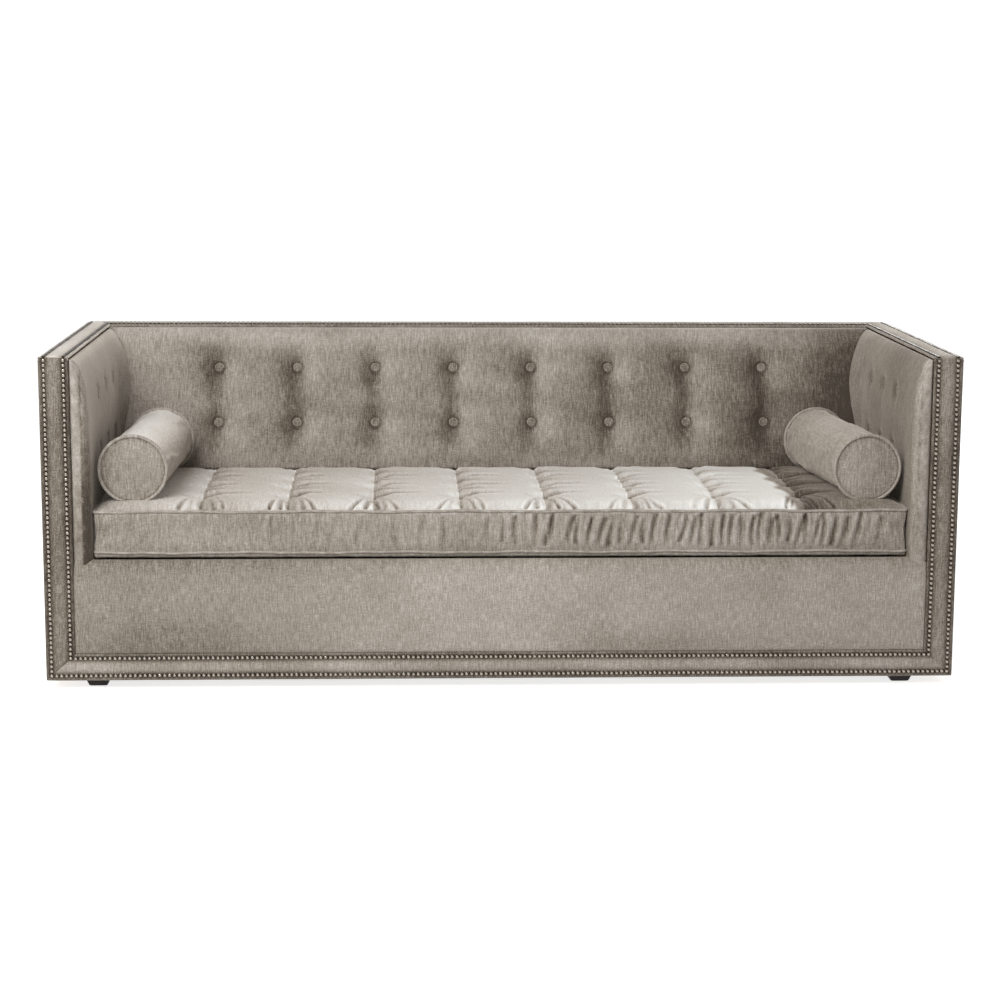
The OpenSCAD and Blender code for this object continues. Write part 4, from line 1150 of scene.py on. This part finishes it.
    def pleats(self, x, y, columns, lines, pleat, front, rear):
        """Depth of the pleats that fan from each tuft and of the tucks at the front welt."""
        draw = np.random.default_rng(17).uniform
        depth = np.zeros_like(x)
        for cx in columns:
            for cy in lines:
                for start, reach, deep in ((0.0, draw(0.10, 0.15), 1.0), (0.068, draw(0.05, 0.09), 0.5)):
                    end = (cx + reach, cy + start + draw(0.01, 0.03))
                    depth += crease(x, y, (cx, cy + start), end, bow=draw(0.004, 0.014),
                                    depth=pleat * deep * draw(0.8, 1.2), width=0.013)
                depth += crease(x, y, (cx, cy), (cx - draw(0.04, 0.07), cy - 0.01), bow=0.006,
                                depth=pleat * 0.55, width=0.012)
            for place in (-0.055, -0.022, 0.012, 0.040, 0.075):
                start = (cx + place + draw(-0.012, 0.012), front + 0.004)
                end = (cx + 0.2 * place, lines[0] - draw(0.0, 0.03))
                depth += crease(x, y, start, end, bow=draw(-0.008, 0.008),
                                depth=pleat * draw(0.2, 1.0), width=draw(0.0035, 0.0055))
            depth += crease(x, y, (cx + 0.004, rear - 0.002), (cx, lines[-1]), depth=pleat * 0.2,
                            width=0.006)
        return depth

    def wrinkles(self, x, z, cushion):
        """Depth of the slanted wrinkles along the front of the box band."""
        rng = np.random.default_rng(29)
        draw = rng.uniform
        depth = np.zeros_like(x)
        low, high = cushion.lower_welt + 0.006, cushion.upper_welt - 0.003
        cx = -0.70
        while cx < 0.93:
            # Close and deep from the middle to the right, sparse and faint on the left
            strength = 0.25 + 0.75 * ramp(cx, -0.25, 0.35) * ramp(cx, 0.98, -0.12)
            cx += (0.105 - 0.077 * strength) * draw(0.6, 1.4)
            slant = draw(-0.004, 0.024)
            bottom, top = draw(low, low + 0.018), draw(high - 0.012, high)
            ends = [(top, cx + slant), (bottom, cx)]
            if rng.random() < 0.35:
                ends.reverse()
            depth += crease(z, x, *ends, bow=draw(-0.005, 0.005),
                            depth=cushion.wrinkle * strength * draw(0.5, 1.0),
                            width=draw(0.0040, 0.0075), taper=0.5)
        return depth

    def welts(self, cushion, half, front, rear):
        """Two piped welts round the cushion, sewn to its edges."""
        corner, step = 0.012, 0.012
        path = []
        turns = ((half, front, -90), (half, rear, 0), (-half, rear, 90), (-half, front, 180))
        for cx, cy, start in turns:
            mx, my = cx - math.copysign(corner, cx), cy + (corner if cy == front else -corner)
            path += [(mx + corner * math.cos(a), my + corner * math.sin(a))
                     for a in np.radians(np.linspace(start, start + 90, 6))]
        line = []
        for (ax, ay), (bx, by) in zip(path, path[1:] + path[:1]):
            steps = max(1, round(math.hypot(bx - ax, by - ay) / step))
            line += [(ax + (bx - ax) * k / steps, ay + (by - ay) * k / steps) for k in range(steps)]
        line = np.array(line)
        x, y = line.T
        outward = np.stack([np.where(np.abs(x) > half - corner, np.sign(x), 0),
                            1.0 * (y > rear - corner) - (y < front + corner)], -1)
        shapes = []
        for level, out in ((cushion.upper_welt, 0.0012), (cushion.lower_welt, 0.0016)):
            flat = line + outward * out
            wave = 0.0012 * np.sin(flat[:, 0] * 17 + level * 90) + 0.0007 * np.sin(flat[:, 0] * 47)
            shapes.append(level_cord(np.column_stack([flat, level + wave]), cushion.welt))
        new_piece("cushion_welts", *gathered(shapes), velvet("y"), "cushion", "cushion_velvet")


class SOFA_OT_bolsters(bpy.types.Operator):
    """Two round bolsters with piped ends"""
    bl_idname = "sofa.bolsters"
    bl_label = "Bolsters"

    # Radius, as a share of a bolster's, and depth along the dished end, from its middle out
    DISC = ((0.25, -0.0062), (0.5, -0.0052), (0.72, -0.0036), (0.88, -0.0010), (0.97, 0.0018),
            (1.0, 0.0040))

    def execute(self, context):
        sizes = context.scene.bolster_sizes
        for (side, word), turn in zip(SIDES, (sizes.turn_left, sizes.turn_right)):
            self.bolster(side, word, turn, sizes)
        return {"FINISHED"}

    def bolster(self, side, word, turn, sizes):
        """One bolster with dished ends, a seam along it and a piping round each end."""
        rest, r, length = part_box("left_bolster")[0].z, sizes.diameter / 2, sizes.length
        origin = np.array([side * sizes.spread, sizes.front, sizes.height])
        yaw = np.array(Matrix.Rotation(side * turn, 3, "Z"))
        body, bulge, edge = r - 0.0035, 0.0030, 0.004
        front = [(0.0004, -0.0065)] + [(body * share, depth) for share, depth in self.DISC]
        middle = [(body + bulge * math.sin(math.pi * t) ** 0.5, edge + (length - 2 * edge) * t)
                  for t in np.linspace(0, 1, 60)[1:-1]]
        profile = front + middle + [(radius, length - depth) for radius, depth in front[::-1]]
        angles = full_turn(84)
        local = np.array([(radius * math.cos(a), y, radius * math.sin(a))
                          for radius, y in profile for a in angles])
        piece = new_piece(word + "_bolster_velvet", local @ yaw.T + origin,
                          grid_faces(len(profile), len(angles), wrap=True), velvet("x"),
                          word + "_bolster_body", "bolster_velvet")
        at = local[:, 1]
        held = (np.abs(at - edge) < 0.001) | (np.abs(at - length + edge) < 0.001)
        swell(piece, held, pressure=3.0, growth=0.006, cap=0.0045)
        points, normals = refined(piece)
        x, y, z = ((points - origin) @ yaw).T
        angle = np.arctan2(z, x)
        end = np.minimum(y, length - y)
        along = end > edge
        ripple = 0.0009 * np.sin(angle * 19 + 2 * np.sin(angle * 3))
        ripple *= np.exp(-np.clip(end, 0, 1) / 0.018) * along
        ripple += 0.0011 * uneven(points, 0.05, 40 + side)
        seam = 0.0016 * np.exp(-np.abs(angle - 1.9) * body / 0.0022) * along
        points = points + normals * (ripple - seam)[:, None]
        points[:, 2] = np.maximum(points[:, 2], rest)
        move_to(piece, points)
        # Painted light on each bolster's top, much more on the left one, and painted shade in the seam
        # inside each piping
        pile_tone_and_light = 0.04 * uneven(points, 0.05, 50 + side) - 0.05
        pile_tone_and_light += (0.24 - 0.20 * side) * np.clip(z / r, 0, 1) ** 1.5 * along
        pile_tone_and_light -= 0.16 * (end < 0.0035) * near(np.hypot(x, z) - body * 0.97, 0.004)
        store_pile_tone_and_light(piece, pile_tone_and_light)
        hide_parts(word + "_bolster")
        piping, piping_at = 0.0043, 0.0035
        outward = np.array([(math.cos(a), 0.0, math.sin(a)) for a in full_turn(96)])
        shapes = []
        for place in (piping_at, length - piping_at):
            ring = (body + 0.0020) * outward + (0.0, place, 0.0)
            points, faces = cord(ring, outward, np.array((0.0, -1.0, 0.0)), piping)
            points = points @ yaw.T + origin
            points[:, 2] = np.maximum(points[:, 2], rest)
            shapes.append((points, faces))
        new_piece(word + "_bolster_piping", *gathered(shapes), velvet("x"), word + "_bolster_body",
                  "bolster_velvet")


# Bed

class SOFA_OT_mattress(bpy.types.Operator):
    """Quilted mattress sections with taped edges"""
    bl_idname = "sofa.mattress"
    bl_label = "Mattress sections"

    def execute(self, context):
        shade = tuple(context.scene.finish_colours.ticking)
        ticking = woven("ticking", shade, scaled(shade, 0.62), 900.0, stripe=0.045)
        for node, body in (("seat_mattress", "seat_section"), ("fold_mattress", "fold_section")):
            self.section(node, body, ticking, context.scene.bed_sizes)
        return {"FINISHED"}

    def section(self, node, body, ticking, bed):
        """One quilted section, with a tape round its upper and its lower edge."""
        low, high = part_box(node)
        middle = (low + high) / 2
        wide, deep, tall = (high - low) / 2
        roll, tape_inset, tape, grid_step = 0.012, 0.013, 0.0030, 0.014
        x, y = np.meshgrid(np.linspace(-1, 1, 150),
                           np.linspace(-1, 1, max(40, round(deep * 2 / grid_step))))
        # Keep the clipped corners of the section
        cut = np.clip((np.abs(x) * wide + np.abs(y) * deep) - (wide + deep - bed.corner), 0, None)
        px = x * wide - np.sign(x) * cut / 2
        py = y * deep - np.sign(y) * cut / 2
        edge = np.minimum(wide - np.abs(x) * wide, deep - np.abs(y) * deep)
        dome = np.sqrt(1 - np.clip(1 - edge / 0.018, 0, 1) ** 2)
        quilt = np.abs(np.sin((px + py) * math.pi / bed.quilt) * np.sin((px - py) * math.pi / bed.quilt))
        pz = tall - roll + roll * dome - bed.quilt_depth * (1 - np.sqrt(quilt)) * ramp(edge, 0, 0.03)
        top = np.stack([middle.x + px, middle.y + py, middle.z + pz], -1).reshape(-1, 3)
        bottom = top.copy()
        bottom[:, 2] = 2 * middle.z - top[:, 2]
        loop = border_loop(*x.shape)
        levels = [top[loop] * (1 - t) + bottom[loop] * t for t in (0.2, 0.4, 0.6, 0.8)]
        count, n = len(top), len(loop)
        loops = [loop, *(2 * count + k * n + np.arange(n) for k in range(len(levels))), loop + count]
        face = grid_faces(*x.shape)
        faces = np.concatenate([face, (face + count)[:, ::-1], walls(loops)])
        piece = new_piece(node + "_ticking", np.concatenate([top, bottom, *levels]), faces, ticking,
                          body, "ticking")
        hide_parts(node)
        shapes = []
        for level in (tall - tape_inset, tape_inset - tall):
            line = top[loop][::2].copy()
            line[:, 2] = middle.z + level
            shapes.append(level_cord(line, tape, 6))
        new_piece(node + "_tape", *gathered(shapes), ticking, body, "ticking")


class SOFA_OT_feet(bpy.types.Operator):
    """Tapered black feet"""
    bl_idname = "sofa.feet"
    bl_label = "Feet"

    def execute(self, context):
        sole_to_top, corner, corner_points = 46 / 66, 0.004, 4
        # How far up a foot each ring of points is, and how far it is drawn in
        rings = ((0, 0.004), (0.05, 0.0008), (0.12, 0.0), (0.94, 0.0), (1, 0.001))
        for node in ("front_left_foot", "front_right_foot", "rear_left_foot", "rear_right_foot"):
            low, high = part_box(node)
            middle, top = (low + high) / 2, (high.x - low.x) / 2
            points = [(middle.x, middle.y, low.z)] * (4 * corner_points)
            for t, inset in rings:
                half = top * (sole_to_top + (1 - sole_to_top) * t) - inset - corner
                for cx, cy, start in ((1, 1, 0), (-1, 1, 90), (-1, -1, 180), (1, -1, 270)):
                    points += [(middle.x + cx * half + corner * math.cos(a),
                                middle.y + cy * half + corner * math.sin(a),
                                low.z + (high.z - low.z) * t)
                               for a in np.radians(np.linspace(start, start + 90, corner_points))]
            faces = grid_faces(len(rings) + 1, 4 * corner_points, wrap=True)
            piece = new_piece(node + "_lacquered", points, faces, lacquer(), "sofa", "black_feet")
            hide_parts(node)
        return {"FINISHED"}


class SOFA_OT_pull_strap(bpy.types.Operator):
    """Woven strap that pulls the bed out"""
    bl_idname = "sofa.pull_strap"
    bl_label = "Pull strap"

    def execute(self, context):
        low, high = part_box("pull_strap")
        # Share of the strap's width and of its thickness across its front
        section = ((0, 0.0), (0.06, 0.7), (0.14, 1.0), (0.18, 0.82), (0.22, 1.0), (0.5, 1.0),
                   (0.78, 1.0), (0.82, 0.82), (0.86, 1.0), (0.94, 0.7), (1, 0.0))
        points = []
        places = np.linspace(0, 1, 80)
        for u in places:
            slack = 0.0006 * math.sin(u * 19)
            points += [(low.x + (high.x - low.x) * u, high.y - (high.y - low.y + slack) * share,
                        low.z + (high.z - low.z) * v) for v, share in section]
        webbing = woven("webbing", (0.10, 0.10, 0.11), (0.02, 0.02, 0.022), 600.0)
        piece = new_piece("pull_strap_webbing", points,
                          grid_faces(len(places), len(section))[:, ::-1], webbing,
                          "fold_section", "webbing")
        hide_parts("pull_strap")
        return {"FINISHED"}


class SOFA_OT_finishes(bpy.types.Operator):
    """Wood, steel, cloth and rubber on the CAD pieces that stay as they are"""
    bl_idname = "sofa.finishes"
    bl_label = "Frame finishes"

    def execute(self, context):
        colours = context.scene.finish_colours
        timber, steel = tuple(colours.timber), tuple(colours.steel)
        finishes = {
            "timber": wood("timber_along_x", timber, 0),
            "plywood": wood("plywood", scaled(timber, 1.15), 0),
            "painted_steel": metal("painted_steel", steel, 0.42, 0.0),
            "bright_steel": metal("bright_steel", (0.52, 0.51, 0.49), 0.30, 1.0),
            "deck_cloth": woven("deck_cloth", (0.085, 0.088, 0.095), (0.020, 0.021, 0.024), 420.0),
            "rubber_tips": metal("rubber", (0.02, 0.02, 0.02), 0.75, 0.0),
        }
        slots = {part["node"]: part["material_slot"] for part in frame["record"]["subparts"]}
        uprights = ("arm_posts", "back_posts", "back_ribs")
        depthways = ("left_side_rail", "right_side_rail", "arm_rails")
        for name, piece in frame["nodes"].items():
            finish = finishes.get(slots.get(name))
            if finish is None:
                continue
            if name in uprights:
                finish = wood("timber_upright", timber, 2)
            elif name in depthways:
                finish = wood("timber_along_y", timber, 1)
            for slot in piece.material_slots:
                slot.material = finish
        return {"FINISHED"}


# Stage

class SOFA_OT_stage(bpy.types.Operator):
    """Pale floor, soft light and the camera"""
    bl_idname = "sofa.stage"
    bl_label = "Stage"

    # Where the camera stands, in metres, and its yaw, pitch and roll, in degrees
    CAMERA_PLACE = (-0.273, -6.288, 1.486)
    CAMERA_TURN = (2.589, -9.689, 0.302)

    def execute(self, context):
        looks, scene = context.scene.stage_looks, context.scene
        scene.view_settings.view_transform = "Standard"
        scene.camera = self.camera(looks.lens)
        self.world(scene, looks.sky)
        self.floor()
        self.lamp("key", looks.key, place=(-2.3, -4.2, 4.0), size=3.2)
        self.lamp("fill", looks.fill, place=(2.6, 4.6, 3.6), size=3.0)
        return {"FINISHED"}

    def add(self, name, data):
        """A new object on the stage."""
        thing = bpy.data.objects.new(name, data)
        bpy.context.scene.collection.objects.link(thing)
        return thing

    def lamp(self, name, power, place, size):
        """A square soft lamp aimed at the sofa."""
        data = bpy.data.lights.new(name, "AREA")
        data.shape, data.size, data.energy = "SQUARE", size, power
        lamp = self.add(name, data)
        lamp.location = place
        aim = Vector((0.0, 0.0, 0.4)) - lamp.location
        lamp.rotation_euler = aim.to_track_quat("-Z", "Y").to_euler()

    def camera(self, lens):
        """Looks slightly down and to the right, from the left of the middle."""
        yaw, pitch, roll = (math.radians(a) for a in self.CAMERA_TURN)
        level_ahead = Vector((math.sin(yaw), math.cos(yaw), 0))
        ahead = math.cos(pitch) * level_ahead + Vector((0, 0, math.sin(pitch)))
        right = Vector((math.cos(yaw), -math.sin(yaw), 0))
        up = right.cross(ahead)
        level = math.cos(roll) * right + math.sin(roll) * up
        rise = math.cos(roll) * up - math.sin(roll) * right
        data = bpy.data.cameras.new("camera")
        data.sensor_width, data.lens = 36.0, lens
        camera = self.add("camera", data)
        turn = Matrix((level, rise, -ahead)).transposed().to_4x4()
        camera.matrix_world = Matrix.Translation(self.CAMERA_PLACE) @ turn
        return camera

    def world(self, scene, sky):
        """Soft light from all round, seen as white."""
        scene.world = bpy.data.worlds.new("studio")
        scene.world.use_nodes = True
        make = Shading(scene.world.node_tree)
        room = make.nodes["Background"]
        white = make.nodes.new("ShaderNodeBackground")
        put_numbers(room, {"Color": (1.0, 0.985, 0.965, 1.0), "Strength": sky})
        put_numbers(white, {"Color": (1.0, 1.0, 1.0, 1.0), "Strength": 1.05})
        mix = make.nodes.new("ShaderNodeMixShader")
        for number, source in enumerate((make.seen(), room.outputs[0], white.outputs[0])):
            make.link(source, mix.inputs[number])
        make.link(mix.outputs[0], make.nodes["World Output"].inputs["Surface"])

    def floor(self):
        """A pale floor with a faint glow of its own that only the camera sees."""
        size = 14.0
        mesh = bpy.data.meshes.new("floor")
        corners = [(-size, -size, 0), (size, -size, 0), (size, size, 0), (-size, size, 0)]
        mesh.from_pydata(corners, [], [(0, 1, 2, 3)])

        def build(make):
            glow = make.nodes.new("ShaderNodeEmission")
            make.link(make.times(make.seen(), 0.78), glow.inputs["Strength"])
            both = make.nodes.new("ShaderNodeAddShader")
            make.link(make.shader.outputs[0], both.inputs[0])
            make.link(glow.outputs[0], both.inputs[1])
            make.link(both.outputs[0], make.nodes["Material Output"].inputs["Surface"])

        mesh.materials.append(new_material("pale_floor", build, {
            "Base Color": (0.80, 0.80, 0.80, 1.0), "Roughness": 1.0, "Specular IOR Level": 0.0}))
        self.add("floor", mesh)


class SOFA_PT_panel(bpy.types.Panel):
    """Lists the steps that make the sofa bed's looks"""
    bl_idname = "SOFA_PT_panel"
    bl_label = "Sofa bed"
    bl_space_type = "VIEW_3D"
    bl_region_type = "UI"
    bl_category = "Sofa bed"

    def draw(self, context):
        for step in STEPS:
            self.layout.operator(step.bl_idname)
        for group in GROUPS:
            box = self.layout.box()
            sizes = getattr(context.scene, group)
            for name in sizes.bl_rna.properties.keys():
                if name not in ("rna_type", "name"):
                    box.prop(sizes, name)


GROUPS = {
    "shell_sizes": ShellSizes, "nail_sizes": NailSizes, "pad_sizes": PadSizes,
    "cushion_sizes": CushionSizes, "bolster_sizes": BolsterSizes, "bed_sizes": BedSizes,
    "finish_colours": FinishColours, "stage_looks": StageLooks,
}
STEPS = (SOFA_OT_stage, SOFA_OT_front, SOFA_OT_caps, SOFA_OT_covers, SOFA_OT_nails,
         SOFA_OT_back_pad, SOFA_OT_arm_pads, SOFA_OT_cushion, SOFA_OT_bolsters,
         SOFA_OT_mattress, SOFA_OT_feet, SOFA_OT_pull_strap, SOFA_OT_finishes)


def register():
    for name, group in GROUPS.items():
        bpy.utils.register_class(group)
        setattr(bpy.types.Scene, name, bpy.props.PointerProperty(type=group))
    for step in (*STEPS, SOFA_PT_panel):
        bpy.utils.register_class(step)


def unregister():
    for step in (SOFA_PT_panel, *reversed(STEPS)):
        bpy.utils.unregister_class(step)
    for name, group in GROUPS.items():
        delattr(bpy.types.Scene, name)
        bpy.utils.unregister_class(group)


def main():
    register()
    for step in STEPS:
        area, name = step.bl_idname.split(".")
        getattr(getattr(bpy.ops, area), name)()


if __name__ == "__main__":
    main()
